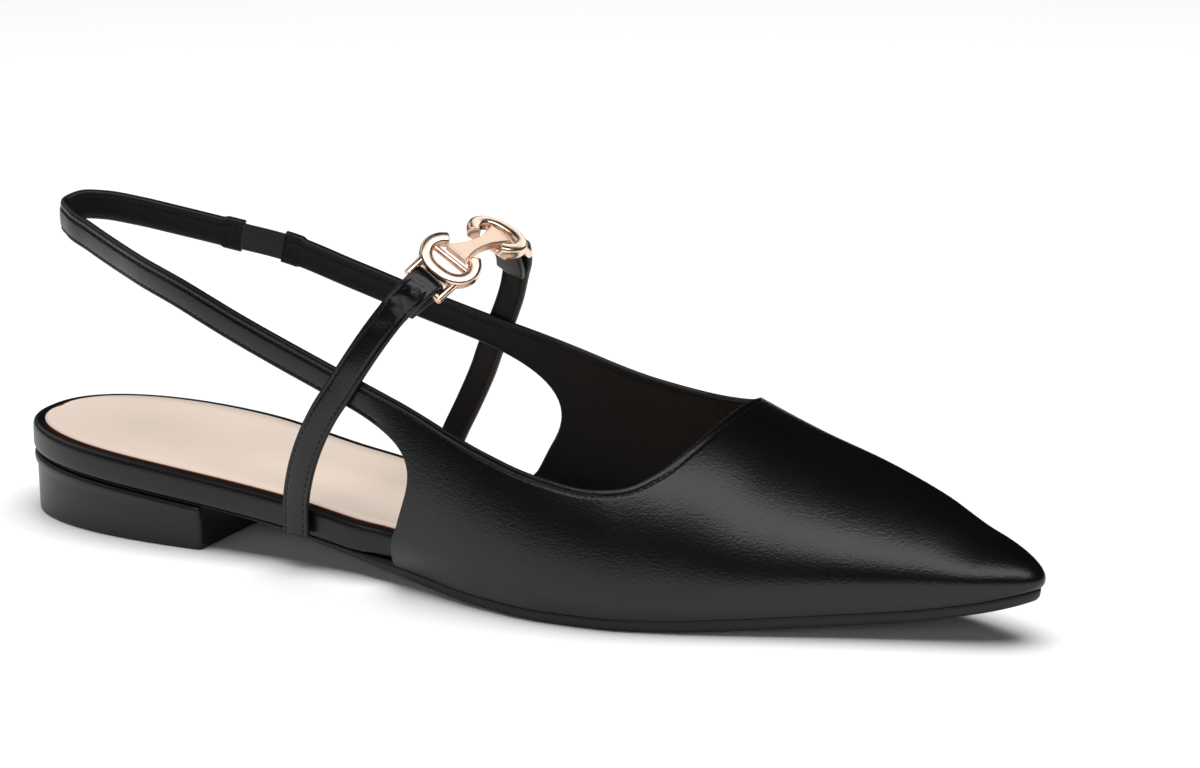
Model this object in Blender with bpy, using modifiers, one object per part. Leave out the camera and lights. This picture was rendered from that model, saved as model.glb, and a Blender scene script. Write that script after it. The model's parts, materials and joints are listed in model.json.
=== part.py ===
"""Right shoe of a pair of pointed slingback flats, as an assembly of separate solids.

Sizes and tables are in millimetres: x runs from the heel, whose back is at HEEL_BACK, to the toe, y to the inner
(medial) side of the foot and z up from the floor. to_scene turns them into metres about the shoe's middle.
"""

import math
from collections import namedtuple

import bmesh
import bpy
import numpy as np
from mathutils import Matrix, Vector

OBJECT_NAME = "slingback_sandal"
CUTTER_NAME = "slingback_sandal_joined_pieces"

# Driving dimensions
MM = 0.001
HEEL_BACK = -1.8
TOE_TIP = 263.0
SOLE_TIP = 261.6
GAP = 0.3
HEEL_ROUND = 45.0
HEEL_POWER = 2.35
TOE_ROUND = 24.0
TOE_POWER = 2.5
TUCK = 20.0
WALL = 1.8
SLING_WIDTH = 7.7
SLING_CAMBER = 0.5
INSTEP_WIDTH = 7.4
RAND_COVERED = 2.5
RAND_COVER_FROM = 97.0
RAND_COVER_TO = 111.0
SOCK_INSET = 2.7
SOCK_THICKNESS = 1.0
HEEL_BREAST = 58.7
HEEL_INSET = 0.1
HEEL_TAPER = 0.9
HEEL_LIP = 0.8
OUTSOLE_INSET = 0.5
ELASTIC_FROM = 42.6
ELASTIC_TO = 53.4
ELASTIC_WIDTH = 6.4
ELASTIC_THICKNESS = 1.2
ELASTIC_CLEARANCE = 0.35
BAR_RADIUS = 0.9
KNOB_RADIUS = 1.5
KNOB_LENGTH = 1.0
BAR_HALF = 4.8
LINK_RADIUS = 1.35
POST_RADIUS = 0.8
POST_OFFSET = 5.0
POST_FROM = 6.6
STRAP_RETURN = 7.0
FOLD_LEAD = 3.0
PLATE_HALF_LENGTH = 10.9
PLATE_THICKNESS = 1.6
PLATE_BEVEL = 0.3

# Where along the shoe the columns of the vamp change from straight down its side to fanned out over the toe, and
# how much closer together they stand at the tip
FAN_FROM = 170.0
FAN_TO = 215.0
TIP_CROWDING = 1.5

# Where along the shoe a ring of the sole starts to get slimmer and shorter towards the tip, and how much shorter
TIP_FROM = 195.0
TIP_TO = 235.0
TIP_PULL = 1.6

# Mesh density
SOLE_STATIONS = 40
BODY_COLUMNS_CUT = 10
BODY_COLUMNS_SIDE = 26
BODY_ROWS_TOP = 6
BODY_ROWS_TUCK = 2
STRAP_COLUMNS_REAR = 34
STRAP_COLUMNS_FRONT = 12
INSTEP_COLUMNS = 30
FOLD_COLUMNS = 9
RETURN_COLUMNS = 5
LINK_COLUMNS = 25
ELASTIC_COLUMNS = 6
PLATE_COLUMNS = 14
WIRE_ROUNDNESS = 2
ROD_SIDES = 12
PATH_STEPS = 40
FEATHER_STEPS = 400
WELD = 0.01

# The last: half widths at the feather edge (sole) and at the widest line (wall), the feather edge's height, the
# widest line's height over it, the height and the y of the ridge, and the section's roundness over the widest
# line, where 2 is an ellipse and less is flatter between ridge and shoulder
LastRow = namedtuple(
    "LastRow", "x sole_lateral sole_medial wall_lateral wall_medial feather bulge ridge ridge_y roundness")
LAST = [
    LastRow(HEEL_BACK, 27.2, 27.2, 28.0, 28.0, 15.8, 12.0, 110.0, 0.0, 2.1),
    LastRow(45, 27.2, 27.2, 28.0, 28.0, 12.7, 12.0, 100.0, 0.0, 2.1),
    LastRow(80, 25.7, 23.0, 30.0, 28.5, 9.0, 12.0, 88.0, 2.0, 2.1),
    LastRow(110, 27.4, 22.6, 31.5, 28.5, 5.2, 11.0, 78.0, 4.0, 2.1),
    LastRow(140, 35.0, 27.3, 36.8, 31.0, 3.4, 8.0, 65.0, 6.0, 2.1),
    LastRow(155, 37.0, 32.4, 38.2, 34.2, 3.0, 6.5, 58.5, 6.5, 2.1),
    LastRow(170, 36.0, 37.1, 37.2, 38.3, 2.9, 6.0, 52.0, 6.5, 2.1),
    LastRow(185, 31.8, 35.8, 33.0, 37.0, 3.2, 6.0, 45.8, 7.0, 2.08),
    LastRow(200, 26.0, 31.0, 27.2, 32.2, 4.1, 6.8, 39.7, 11.0, 1.9),
    LastRow(218, 18.6, 23.6, 19.8, 24.8, 5.6, 7.0, 34.4, 12.0, 1.75),
    LastRow(235, 12.0, 16.2, 13.2, 17.4, 7.2, 6.4, 28.9, 10.0, 1.7),
    LastRow(250, 7.4, 11.6, 8.6, 12.8, 9.7, 5.0, 22.6, 7.0, 1.75),
    LastRow(263, 4.0, 8.4, 5.2, 9.6, 12.8, 3.0, 16.7, 3.0, 2.0),
]

# Thickness of the outsole and height of the footbed's rand along the shoe
SoleRow = namedtuple("SoleRow", "x outsole rand")
SOLE = [
    SoleRow(HEEL_BACK, 1.3, 6.5),
    SoleRow(62, 1.3, 6.5),
    SoleRow(100, 1.9, 6.5),
    SoleRow(128, 3.0, 5.4),
    SoleRow(155, 3.0, 3.6),
    SoleRow(235, 3.0, 3.0),
    SoleRow(263, 2.4, 2.0),
]

# Side of the rand: how far in and how high, as a share of its height, each line of its rounded edge lies
RandRow = namedtuple("RandRow", "inset rise")
RAND = [
    RandRow(1.5, 0.0),
    RandRow(0.5, 0.10),
    RandRow(0.0, 0.30),
    RandRow(0.0, 0.62),
    RandRow(0.5, 0.84),
    RandRow(1.5, 0.96),
    RandRow(2.7, 1.0),
]

# Edges of the vamp on the last: turn is 0 on the lateral widest line, 90 on the ridge and 180 on the medial
# widest line, and TUCK beyond those on the feather edge
EdgeRow = namedtuple("EdgeRow", "x turn")
TOPLINE = [
    EdgeRow(111, 28.0),
    EdgeRow(130, 27.5),
    EdgeRow(155, 28.0),
    EdgeRow(168, 30.2),
    EdgeRow(175, 34.2),
    EdgeRow(180, 41.5),
    EdgeRow(184, 54.0),
    EdgeRow(186.4, 69.0),
    EdgeRow(187.2, 86.0),
    EdgeRow(186.6, 103.0),
    EdgeRow(184, 117.0),
    EdgeRow(178.5, 129.0),
    EdgeRow(169, 137.0),
    EdgeRow(155, 140.2),
    EdgeRow(135, 141.2),
    EdgeRow(115, 143.4),
]
CUT_LATERAL = [
    EdgeRow(111.4, 20.2),
    EdgeRow(117.5, 18.7),
    EdgeRow(120.2, 16.5),
    EdgeRow(120.6, 12.5),
    EdgeRow(118.2, 4.5),
    EdgeRow(115.4, -4.0),
    EdgeRow(113.2, -TUCK),
]
CUT_MEDIAL = [
    EdgeRow(118, 180 + TUCK),
    EdgeRow(120, 183.0),
    EdgeRow(125.2, 173.0),
    EdgeRow(129.8, 165.0),
    EdgeRow(130.4, 160.5),
    EdgeRow(128, 156.0),
    EdgeRow(116, 152.5),
]

# Upper edge of the sling strap, from the lateral quarter round the heel to the medial quarter
PlaceRow = namedtuple("PlaceRow", "x y z")
SLING = [
    PlaceRow(92, -27.7, 53.0),
    PlaceRow(72.5, -26.8, 59.9),
    PlaceRow(54, -24.0, 66.0),
    PlaceRow(39.5, -19.0, 68.8),
    PlaceRow(28, -13.0, 70.4),
    PlaceRow(16, -7.0, 72.6),
    PlaceRow(7.2, -2.6, 74.4),
    PlaceRow(2.8, 1.6, 75.7),
    PlaceRow(4.6, 6.0, 76.9),
    PlaceRow(10, 10.0, 76.7),
    PlaceRow(17, 14.6, 75.0),
    PlaceRow(26.5, 18.6, 72.7),
    PlaceRow(41, 22.6, 69.7),
    PlaceRow(54, 25.0, 67.3),
    PlaceRow(72.7, 26.4, 62.0),
    PlaceRow(92, 27.2, 56.6),
]

# Middle line of each instep strap, from its foot on the outsole to just short of its link
INSTEP_LATERAL = [
    PlaceRow(86.7, -27.2, 8.9),
    PlaceRow(87.2, -27.8, 17.0),
    PlaceRow(88.8, -28.6, 23.4),
    PlaceRow(91.9, -29.2, 31.6),
    PlaceRow(96.3, -29.3, 39.9),
    PlaceRow(100.7, -28.9, 46.4),
    PlaceRow(104.3, -28.4, 52.0),
    PlaceRow(108.6, -26.4, 59.0),
    PlaceRow(112.2, -23.8, 64.6),
]
INSTEP_MEDIAL = [
    PlaceRow(94.5, 24.2, 7.6),
    PlaceRow(96.3, 25.5, 14.4),
    PlaceRow(98.8, 26.9, 21.6),
    PlaceRow(102.1, 28.3, 29.2),
    PlaceRow(106, 28.4, 37.6),
    PlaceRow(109.4, 26.8, 44.6),
    PlaceRow(113.8, 25.1, 52.8),
    PlaceRow(116.6, 24.0, 59.0),
    PlaceRow(119.2, 21.8, 65.8),
]

# The links of the clasp: the middle between the two tips, the way from there to the closed end and its axis across,
# the middle of the bar that a strap end is folded round and the way that this fold points
LinkRow = namedtuple("LinkRow", "side tips lead across bar fold")
LINKS = {
    "bit_link_lateral": LinkRow(-1, (121.2, -8.0, 76.8), (-0.26, -0.84, -0.47), (0.76, -0.12, -0.63),
                                (117.8, -19.6, 70.5), (0.42, 0.70, 0.58)),
    "bit_link_medial": LinkRow(1, (121.0, 4.4, 76.2), (0.10, 0.98, 0.07), (0.92, -0.06, -0.40),
                               (121.0, 16.6, 72.2), (0.10, -0.35, 0.93)),
}

# Half of a link's horseshoe from its tip: along its lead and across
ShoeRow = namedtuple("ShoeRow", "along across")
HORSESHOE = [
    ShoeRow(0.0, 3.9),
    ShoeRow(1.6, 5.4),
    ShoeRow(4.2, 6.2),
    ShoeRow(6.6, 5.3),
    ShoeRow(8.1, 3.2),
    ShoeRow(8.6, 0.0),
]

# The plate between the links: middle, direction across it and its half width along its half length
PLATE_MIDDLE = (121.4, -0.7, 76.6)
PLATE_ACROSS = (0.85, 0.0, -0.52)
PlateRow = namedtuple("PlateRow", "x half_width")
PLATE = [
    PlateRow(0.0, 1.7),
    PlateRow(5.0, 2.0),
    PlateRow(9.2, 2.1),
    PlateRow(10.2, 2.9),
    PlateRow(PLATE_HALF_LENGTH, 3.0),
]

# Colour, roughness and metallic value of each piece
MaterialRow = namedtuple("MaterialRow", "colour roughness metallic")
MATERIALS = {
    "outsole": MaterialRow((0.012, 0.012, 0.013), 0.55, 0.0),
    "heel_block": MaterialRow((0.010, 0.010, 0.011), 0.42, 0.0),
    "footbed": MaterialRow((0.012, 0.012, 0.013), 0.38, 0.0),
    "insole_sock": MaterialRow((0.60, 0.47, 0.36), 0.60, 0.0),
    "upper": MaterialRow((0.010, 0.010, 0.011), 0.32, 0.0),
    "sling_elastic": MaterialRow((0.008, 0.008, 0.009), 0.85, 0.0),
    "bit_link_lateral": MaterialRow((0.83, 0.52, 0.40), 0.18, 1.0),
    "bit_link_medial": MaterialRow((0.83, 0.52, 0.40), 0.18, 1.0),
    "bit_plate": MaterialRow((0.85, 0.54, 0.42), 0.15, 1.0),
}


def column(rows, name, x):
    """The named column of a table at x, on a smooth curve that doesn't overshoot its rows."""
    xs = np.array([row.x for row in rows], float)
    ys = np.array([getattr(row, name) for row in rows], float)
    steps = np.diff(xs)
    rises = np.diff(ys) / steps
    product = rises[1:] * rises[:-1]
    total = np.where(product > 0, rises[1:] + rises[:-1], 1.0)
    slopes = np.r_[rises[0], np.where(product > 0, 2 * product / total, 0.0), rises[-1]]
    x = np.asarray(x, float)
    i = np.clip(np.searchsorted(xs, x) - 1, 0, len(xs) - 2)
    t = (x - xs[i]) / steps[i]
    start = (1 + 2 * t) * (1 - t) ** 2 * ys[i] + t * (1 - t) ** 2 * steps[i] * slopes[i]
    end = t * t * (3 - 2 * t) * ys[i + 1] + t * t * (t - 1) * steps[i] * slopes[i + 1]
    return start + end


def ease(x, low, high):
    """0 below low, 1 above high, and a smooth step between."""
    t = np.clip((np.asarray(x, float) - low) / (high - low), 0, 1)
    return t * t * (3 - 2 * t)


def lengths(points):
    """Length along a polyline at each of its points."""
    return np.r_[0, np.cumsum(np.linalg.norm(np.diff(points, axis=0), axis=1))]


def fine_path(points):
    """A smooth curve through the given points, as a fine polyline."""
    points = np.array(points, float)
    chord = lengths(points)
    slopes = np.gradient(points, chord, axis=0)
    s = np.linspace(0, chord[-1], PATH_STEPS * len(points))
    i = np.clip(np.searchsorted(chord, s) - 1, 0, len(chord) - 2)
    h = (chord[i + 1] - chord[i])[:, None]
    t = (s - chord[i])[:, None] / h
    start = (1 + 2 * t) * (1 - t) ** 2 * points[i] + t * (1 - t) ** 2 * h * slopes[i]
    end = t * t * (3 - 2 * t) * points[i + 1] + t * t * (t - 1) * h * slopes[i + 1]
    return start + end


def sample(polyline, measure, shares):
    """Points of a polyline at shares of its length, where measure is the length along it."""
    at = np.asarray(shares) * measure[-1]
    return np.stack([np.interp(at, measure, axis) for axis in polyline.T], axis=-1)


def path(points, count):
    """Evenly spaced points on a smooth curve through the given ones."""
    fine = fine_path(points)
    return sample(fine, lengths(fine), np.linspace(0, 1, count))


def unit(vectors):
    """Vectors of length one."""
    vectors = np.asarray(vectors, float)
    return vectors / np.linalg.norm(vectors, axis=-1, keepdims=True)


def heel_round(x):
    """Share of the full width that the rounded heel leaves at x."""
    back = np.clip((HEEL_ROUND - x) / (HEEL_ROUND - HEEL_BACK), 0, 1)
    return (1 - back ** HEEL_POWER) ** (1 / HEEL_POWER)


def toe_round(x, tip):
    """Share of the full width or height that the rounded toe leaves at x."""
    front = np.clip((x - tip + TOE_ROUND) / TOE_ROUND, 0, 1)
    return np.sqrt(1 - front ** TOE_POWER)


def outline(x, kind, tip):
    """Lateral and medial y of the sole's or the wall's outline at x."""
    lateral = column(LAST, kind + "_lateral", x)
    medial = column(LAST, kind + "_medial", x)
    centre = (medial - lateral) / 2
    half = (medial + lateral) / 2 * heel_round(x) * toe_round(x, tip)
    return centre - half, centre + half


def feather(x):
    """Height of the feather edge, where the upper meets the outsole."""
    return column(LAST, "feather", x)


def last_point(x, turn):
    """Points of the last's outer surface at x and turn."""
    x, turn = np.broadcast_arrays(np.asarray(x, float), np.asarray(turn, float))
    lateral = turn < 90
    wall = np.where(lateral, *outline(x, "wall", TOE_TIP))
    line = feather(x) + column(LAST, "bulge", x)
    height = (column(LAST, "ridge", x) - line) * toe_round(x, TOE_TIP)
    middle = column(LAST, "ridge_y", x)
    roundness = column(LAST, "roundness", x)
    up = np.radians(np.clip(np.where(lateral, turn, 180 - turn), 0, 90))
    y = middle + (wall - middle) * np.cos(up) ** (2 / roundness)
    z = line + height * np.sin(up) ** (2 / roundness)
    down = np.clip(np.where(lateral, -turn, turn - 180) / TUCK, 0, 1)
    pull = (TOE_TIP - SOLE_TIP) * np.clip((x - TOE_TIP + TOE_ROUND) / TOE_ROUND, 0, 1) ** 2
    sole = np.where(lateral, *outline(x - pull, "sole", SOLE_TIP))
    y = y + (sole - wall) * down ** 2
    z = z + (feather(x) + GAP - line) * down
    return np.stack([x - pull * down ** 2, y, z], axis=-1)


def turn_at(x, y):
    """The turn of the last's point above x and y."""
    low, high = outline(x, "wall", TOE_TIP)
    middle = column(LAST, "ridge_y", x)
    lateral = y < middle
    reach = np.where(lateral, middle - low, high - middle)
    share = np.clip(np.abs(y - middle) / np.maximum(reach, 1e-6), 0, 1)
    up = np.degrees(np.arccos(share ** (column(LAST, "roundness", x) / 2)))
    return np.where(lateral, up, 180 - up)


def to_scene(points):
    """Millimetres along the shoe to metres about its middle."""
    middle = (HEEL_BACK + TOE_TIP) / 2
    return (np.asarray(points, float) - (middle, 0, 0)) * MM


def named_collection(name):
    """A new collection of the scene."""
    made = bpy.data.collections.new(name)
    bpy.context.scene.collection.children.link(made)
    return made


def add_object(name, data, collection):
    """A new object in a collection."""
    made = bpy.data.objects.new(name, data)
    collection.objects.link(made)
    return made


def add_mesh(name, bm, collection):
    """A new object from a bmesh, its faces pointing out."""
    bmesh.ops.recalc_face_normals(bm, faces=bm.faces)
    mesh = bpy.data.meshes.new(name)
    bm.to_mesh(mesh)
    bm.free()
    return add_object(name, mesh, collection)


def hide_joined(piece):
    """Mark a piece that a Boolean joins to another as a helper."""
    piece.hide_render = True
    piece.display_type = "WIRE"


def join(base, piece):
    """Unite a piece with a base by a Boolean."""
    union = base.modifiers.new("union_" + piece.name, "BOOLEAN")
    union.operation = "UNION"
    union.object = piece
    hide_joined(piece)


def grid_sheet(name, points, collection):
    """An open sheet over a grid of points."""
    columns, rows = points.shape[:2]
    bm = bmesh.new()
    made = bmesh.ops.create_grid(bm, x_segments=columns - 1, y_segments=rows - 1, size=1.0)
    for vert in made["verts"]:
        i = round((vert.co.x + 1) / 2 * (columns - 1))
        j = round((vert.co.y + 1) / 2 * (rows - 1))
        vert.co = to_scene(points[i, j])
    mesh = bpy.data.meshes.new(name)
    bm.to_mesh(mesh)
    bm.free()
    return add_object(name, mesh, collection)


def thicken(sheet, thickness, offset):
    """Give a sheet a wall: offset -1 grows it against its normals, 0 to both sides."""
    solid = sheet.modifiers.new("wall", "SOLIDIFY")
    solid.thickness = thickness * MM
    solid.offset = offset


def there_and_back(x, lateral, medial):
    """Ring of points from the heel along the lateral side to the toe and back along the medial side."""
    return np.concatenate([np.stack([x, lateral], 1), np.stack([x, medial], 1)[-2:0:-1]])


def sole_ring(inset, cover, height):
    """Closed ring of the sole's outline, moved in and set at a height: heel, lateral side, toe, medial side.

    Along the shoe the ring moves in square to its line. At the toe it gets slimmer and shorter instead, because
    the tip is rounder than the way in is long.
    """
    share = (1 - np.cos(math.pi * np.linspace(0, 1, SOLE_STATIONS + 1))) / 2
    x = HEEL_BACK + (SOLE_TIP - HEEL_BACK) * share
    low, high = outline(x, "sole", SOLE_TIP)
    moved = inset + cover * ease(x, RAND_COVER_FROM, RAND_COVER_TO)
    ring = there_and_back(x, low, high)
    along = unit(np.roll(ring, -1, axis=0) - np.roll(ring, 1, axis=0))
    inward = np.stack([-along[:, 1], along[:, 0]], 1)
    ring = ring + inward * there_and_back(x, moved, moved)[:, 1:]
    half = (high - low) / 2
    slim = half ** 2 / np.maximum(half + moved, WELD)
    shorter = x - TIP_PULL * moved * share
    tip = there_and_back(shorter, (low + high) / 2 - slim, (low + high) / 2 + slim)
    toe = ease(x, TIP_FROM, TIP_TO)
    ring = ring + (tip - ring) * there_and_back(x, toe, toe)[:, 1:]
    return np.column_stack([ring, height(ring[:, 0])])


def loft_rings(name, rings, collection):
    """A closed solid through rings, its first and last closed by rungs across the shoe."""
    bm = bmesh.new()
    loops = [[bm.verts.new(co) for co in to_scene(ring)] for ring in rings]
    count = len(loops[0])
    for lower, upper in zip(loops, loops[1:]):
        for i in range(count):
            k = (i + 1) % count
            bm.faces.new((lower[i], lower[k], upper[k], upper[i]))
    for loop in (loops[0], loops[-1]):
        for i in range(count // 2):
            corners = [loop[i], loop[i + 1], loop[-i - 1], loop[-i % count]]
            bm.faces.new(list(dict.fromkeys(corners)))
    return add_mesh(name, bm, collection)


def sole_top(x):
    """Top of the footbed."""
    return feather(x) + GAP + column(SOLE, "rand", x)


def outsole_bottom(x):
    """Underside of the outsole, flat on the floor under the ball of the foot."""
    return np.maximum(feather(x) - column(SOLE, "outsole", x), 0.0)


def make_outsole(collection):
    """The thin sheet that runs from toe to heel."""
    bottom = sole_ring(OUTSOLE_INSET, 0.0, outsole_bottom)
    top = sole_ring(OUTSOLE_INSET / 2, 0.0, feather)
    return loft_rings("outsole", [bottom, top], collection)


def make_footbed(collection):
    """The insole board with its wrapped rand."""
    rings = []
    for row in RAND:
        def height(x, rise=row.rise):
            return feather(x) + GAP + rise * column(SOLE, "rand", x)
        rings.append(sole_ring(row.inset, RAND_COVERED, height))
    return loft_rings("footbed", rings, collection)


def make_sock(collection):
    """The leather sock that lies on the footbed."""
    def low(x):
        return sole_top(x) + GAP

    def high(x):
        return sole_top(x) + GAP + SOCK_THICKNESS

    rings = [sole_ring(SOCK_INSET, RAND_COVERED, low), sole_ring(SOCK_INSET, RAND_COVERED, high)]
    return loft_rings("insole_sock", rings, collection)


def heel_ring(inset, height):
    """D-shaped ring of the heel block: heel, lateral side, breast, medial side."""
    share = 1 - np.cos(math.pi / 2 * np.linspace(0, 1, SOLE_STATIONS // 2))
    x = HEEL_BACK + (HEEL_BREAST + inset - HEEL_BACK) * share
    low, high = outline(x, "sole", SOLE_TIP)
    ring = np.concatenate([np.stack([x, low], 1), np.stack([x, high], 1)[:0:-1]])
    along = unit(np.roll(ring, -1, axis=0) - np.roll(ring, 1, axis=0))
    inward = np.stack([-along[:, 1], along[:, 0]], 1)
    ring = ring + inward * inset
    ring[:, 0] = np.where(ring[:, 0] > HEEL_BREAST - inset, HEEL_BREAST, ring[:, 0])
    return np.column_stack([ring, height(ring[:, 0])])


def make_heel_block(collection):
    """The low heel, narrower at the floor, with a lip under the outsole."""
    def top(x):
        return feather(x) - column(SOLE, "outsole", x) - GAP

    rings = [
        heel_ring(HEEL_INSET + HEEL_TAPER, lambda x: 0.0 * x),
        heel_ring(HEEL_INSET + HEEL_LIP, lambda x: top(x) - 2 * HEEL_LIP),
        heel_ring(HEEL_INSET, lambda x: top(x) - HEEL_LIP),
        heel_ring(HEEL_INSET, top),
    ]
    return loft_rings("heel_block", rings, collection)


def edge_points(rows):
    """Places in x and turn as an array."""
    return np.array([(row.x, row.turn) for row in rows], float)


def edge_path(rows, shares):
    """Places in x and turn along an edge of the vamp, at shares of its length on the last."""
    fine = fine_path(edge_points(rows))
    return sample(fine, lengths(last_point(*fine.T)), shares)


def feather_side(x_from, turn):
    """Places along the feather edge from x_from to the tip, closer together at the tip."""
    x = TOE_TIP - (TOE_TIP - x_from) * np.linspace(1, 0, FEATHER_STEPS) ** 2
    fine = np.stack([x, np.full_like(x, turn)], 1)
    shares = 1 - np.linspace(1, 0, BODY_COLUMNS_SIDE + 1) ** TIP_CROWDING
    return sample(fine, lengths(last_point(*fine.T)), shares)


def body_columns():
    """Places in x and turn of the top and the low end of each column of the vamp, lateral side first."""
    cut_shares = np.linspace(0, 1, BODY_COLUMNS_CUT + 1)
    lateral = feather_side(CUT_LATERAL[-1].x, -TUCK)
    medial = feather_side(CUT_MEDIAL[0].x, 180 + TUCK)[::-1]
    low = np.concatenate([
        edge_path(CUT_LATERAL, cut_shares)[:-1],
        lateral,
        medial[1:],
        edge_path(CUT_MEDIAL, cut_shares)[1:],
    ])
    top = edge_path(TOPLINE, np.linspace(0, 1, len(low)))
    return top, low


def body_column(top, low):
    """Points of the last down one column of the vamp."""
    lateral = low[1] < 90
    widest = 0.0 if lateral else 180.0
    tucked = low[1] < 0 or low[1] > 180
    rows = BODY_ROWS_TOP + BODY_ROWS_TUCK
    share = np.linspace(0, 1, rows + 1)
    if not tucked:
        return last_point(*(top + (low - top) * share[:, None]).T)
    level = np.minimum(share * rows / BODY_ROWS_TOP, 1)
    under = np.clip((share * rows - BODY_ROWS_TOP) / BODY_ROWS_TUCK, 0, 1)
    side_x = top[0] + (low[0] - top[0]) * level
    side_turn = top[1] + (widest - top[1]) * level
    start = last_point(*top)
    end = last_point(low[0], widest)
    climb = np.radians(np.clip(np.abs(top[1] - widest), 1.0, 90.0)) * (1 - level)
    reach = (np.cos(climb) - np.cos(climb[0])) / (1 - np.cos(climb[0]))
    plan_x = start[0] + (end[0] - start[0]) * reach
    plan_y = start[1] + (end[1] - start[1]) * reach
    plan_turn = np.where(level < 1, turn_at(plan_x, plan_y), widest)
    toe = ease(low[0], FAN_FROM, FAN_TO)
    x = side_x + (plan_x - side_x) * toe
    turn = side_turn + (plan_turn - side_turn) * toe
    turn = turn + (low[1] - widest) * under
    return last_point(x, turn)


def strap_column(tops, width):
    """Points across a strap below its upper edge, slightly crowned."""
    along = unit(np.gradient(tops, axis=0))
    down = np.array([0.0, 0.0, -1.0])
    down = unit(down - along * (along @ down)[:, None])
    out = np.cross(along, down)
    share = np.linspace(0, 1, BODY_ROWS_TOP + BODY_ROWS_TUCK + 1)
    crown = 4 * share * (1 - share) * SLING_CAMBER
    return tops[:, None] + down[:, None] * (share * width)[:, None] + out[:, None] * crown[:, None]


def sling_line(start, end):
    """Upper edge of the sling as a fine polyline, tied to the vamp at both ends."""
    return fine_path([start] + [tuple(row) for row in SLING] + [end])


def sling_columns(line, measure, low, high, count):
    """Columns of the sling between two shares of its upper edge."""
    tops = sample(line, measure, np.linspace(low, high, count))
    return strap_column(tops, SLING_WIDTH)


def elastic_shares(line, measure):
    """Shares of the sling's upper edge at the two ends of the elastic, on the medial side."""
    medial = np.argmax(line[:, 1] > ELASTIC_WIDTH)
    x = line[medial:, 0]
    at = np.interp([ELASTIC_FROM, ELASTIC_TO], x, measure[medial:])
    return at / measure[-1]


def make_ring_sheet(collection):
    """Vamp and sling as one open sheet: from the elastic round the heel, over the vamp, back to the elastic."""
    top, low = body_columns()
    body = np.array([body_column(t, b) for t, b in zip(top, low)])
    line = sling_line(body[0, 0], body[-1, 0])
    measure = lengths(line)
    back, front = elastic_shares(line, measure)
    rear = sling_columns(line, measure, 0, back, STRAP_COLUMNS_REAR + 1)
    fore = sling_columns(line, measure, front, 1, STRAP_COLUMNS_FRONT + 1)
    points = np.concatenate([fore[:-1], body[::-1], rear[1:]])
    sheet = grid_sheet("upper", points, collection)
    thicken(sheet, WALL, -1)
    return sheet


def make_elastic(collection):
    """The elastic let into the medial sling."""
    top, low = body_columns()
    line = sling_line(last_point(*top[0]), last_point(*top[-1]))
    measure = lengths(line)
    back, front = elastic_shares(line, measure)
    clear = ELASTIC_CLEARANCE / measure[-1]
    tops = sample(line, measure, np.linspace(back + clear, front - clear, ELASTIC_COLUMNS))
    points = strap_column(tops, SLING_WIDTH)
    margin = (1 - ELASTIC_WIDTH / SLING_WIDTH) / 2
    points = points[:, :1] + (points[:, -1:] - points[:, :1]) * np.array([margin, 1 - margin])[None, :, None]
    inward = unit(np.cross(points[:, 1] - points[:, 0], np.gradient(points[:, 0], axis=0)))
    points = points + inward[:, None] * (WALL / 2)
    sheet = grid_sheet("sling_elastic", points, collection)
    thicken(sheet, ELASTIC_THICKNESS, 0)
    return sheet


def square_to(vector, axis):
    """The unit vector nearest to vector that is square to an axis."""
    vector = np.asarray(vector, float)
    return unit(vector - axis * (vector @ axis))


def make_instep_strap(name, rows, link, collection):
    """A strap from its foot to its link, folded round the link's bar."""
    bar = np.array(link.bar)
    fold = unit(link.fold)
    across = square_to(link.across, fold)
    out = np.cross(fold, across) * link.side
    radius = BAR_RADIUS + GAP + WALL / 2
    half_turn = np.radians(np.linspace(0, 180, FOLD_COLUMNS))[:, None]
    bend = bar + radius * (np.cos(half_turn) * out + np.sin(half_turn) * fold)
    outer = path([tuple(row) for row in rows] + [bend[0] - fold * FOLD_LEAD, bend[0]], INSTEP_COLUMNS)
    measure = lengths(outer)
    back = np.linspace(0, 1, RETURN_COLUMNS)[1:]
    inner = sample(outer, measure, 1 - back * STRAP_RETURN / measure[-1])
    inner = inner - out * (2 * radius + (WALL + 2 * GAP - 2 * radius) * back)[:, None]
    line = np.concatenate([outer, bend[1:], inner])
    along = unit(np.gradient(line, axis=0))
    sideways = unit(across - along * (along @ across)[:, None]) * INSTEP_WIDTH / 2
    points = np.stack([line - sideways, line, line + sideways], axis=1)
    sheet = grid_sheet(name, points if link.side < 0 else points[:, ::-1], collection)
    thicken(sheet, WALL, 0)
    return sheet


def make_upper(collection, cutters):
    """Vamp, sling and instep straps in one wall."""
    upper = make_ring_sheet(collection)
    for rows, name in ((INSTEP_LATERAL, "bit_link_lateral"), (INSTEP_MEDIAL, "bit_link_medial")):
        join(upper, make_instep_strap("instep_strap_" + name[-7:], rows, LINKS[name], cutters))
    return upper


def rod(name, start, end, radius, collection):
    """A round rod between two points."""
    axis = Vector(end) - Vector(start)
    bm = bmesh.new()
    bmesh.ops.create_cone(bm, cap_ends=True, segments=ROD_SIDES, radius1=radius * MM, radius2=radius * MM,
                          depth=axis.length * MM)
    middle = Vector(to_scene((np.array(start) + np.array(end)) / 2))
    turned = axis.to_track_quat("Z", "Y").to_matrix().to_4x4()
    bmesh.ops.transform(bm, matrix=Matrix.Translation(middle) @ turned, verts=bm.verts)
    return add_mesh(name, bm, collection)


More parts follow.
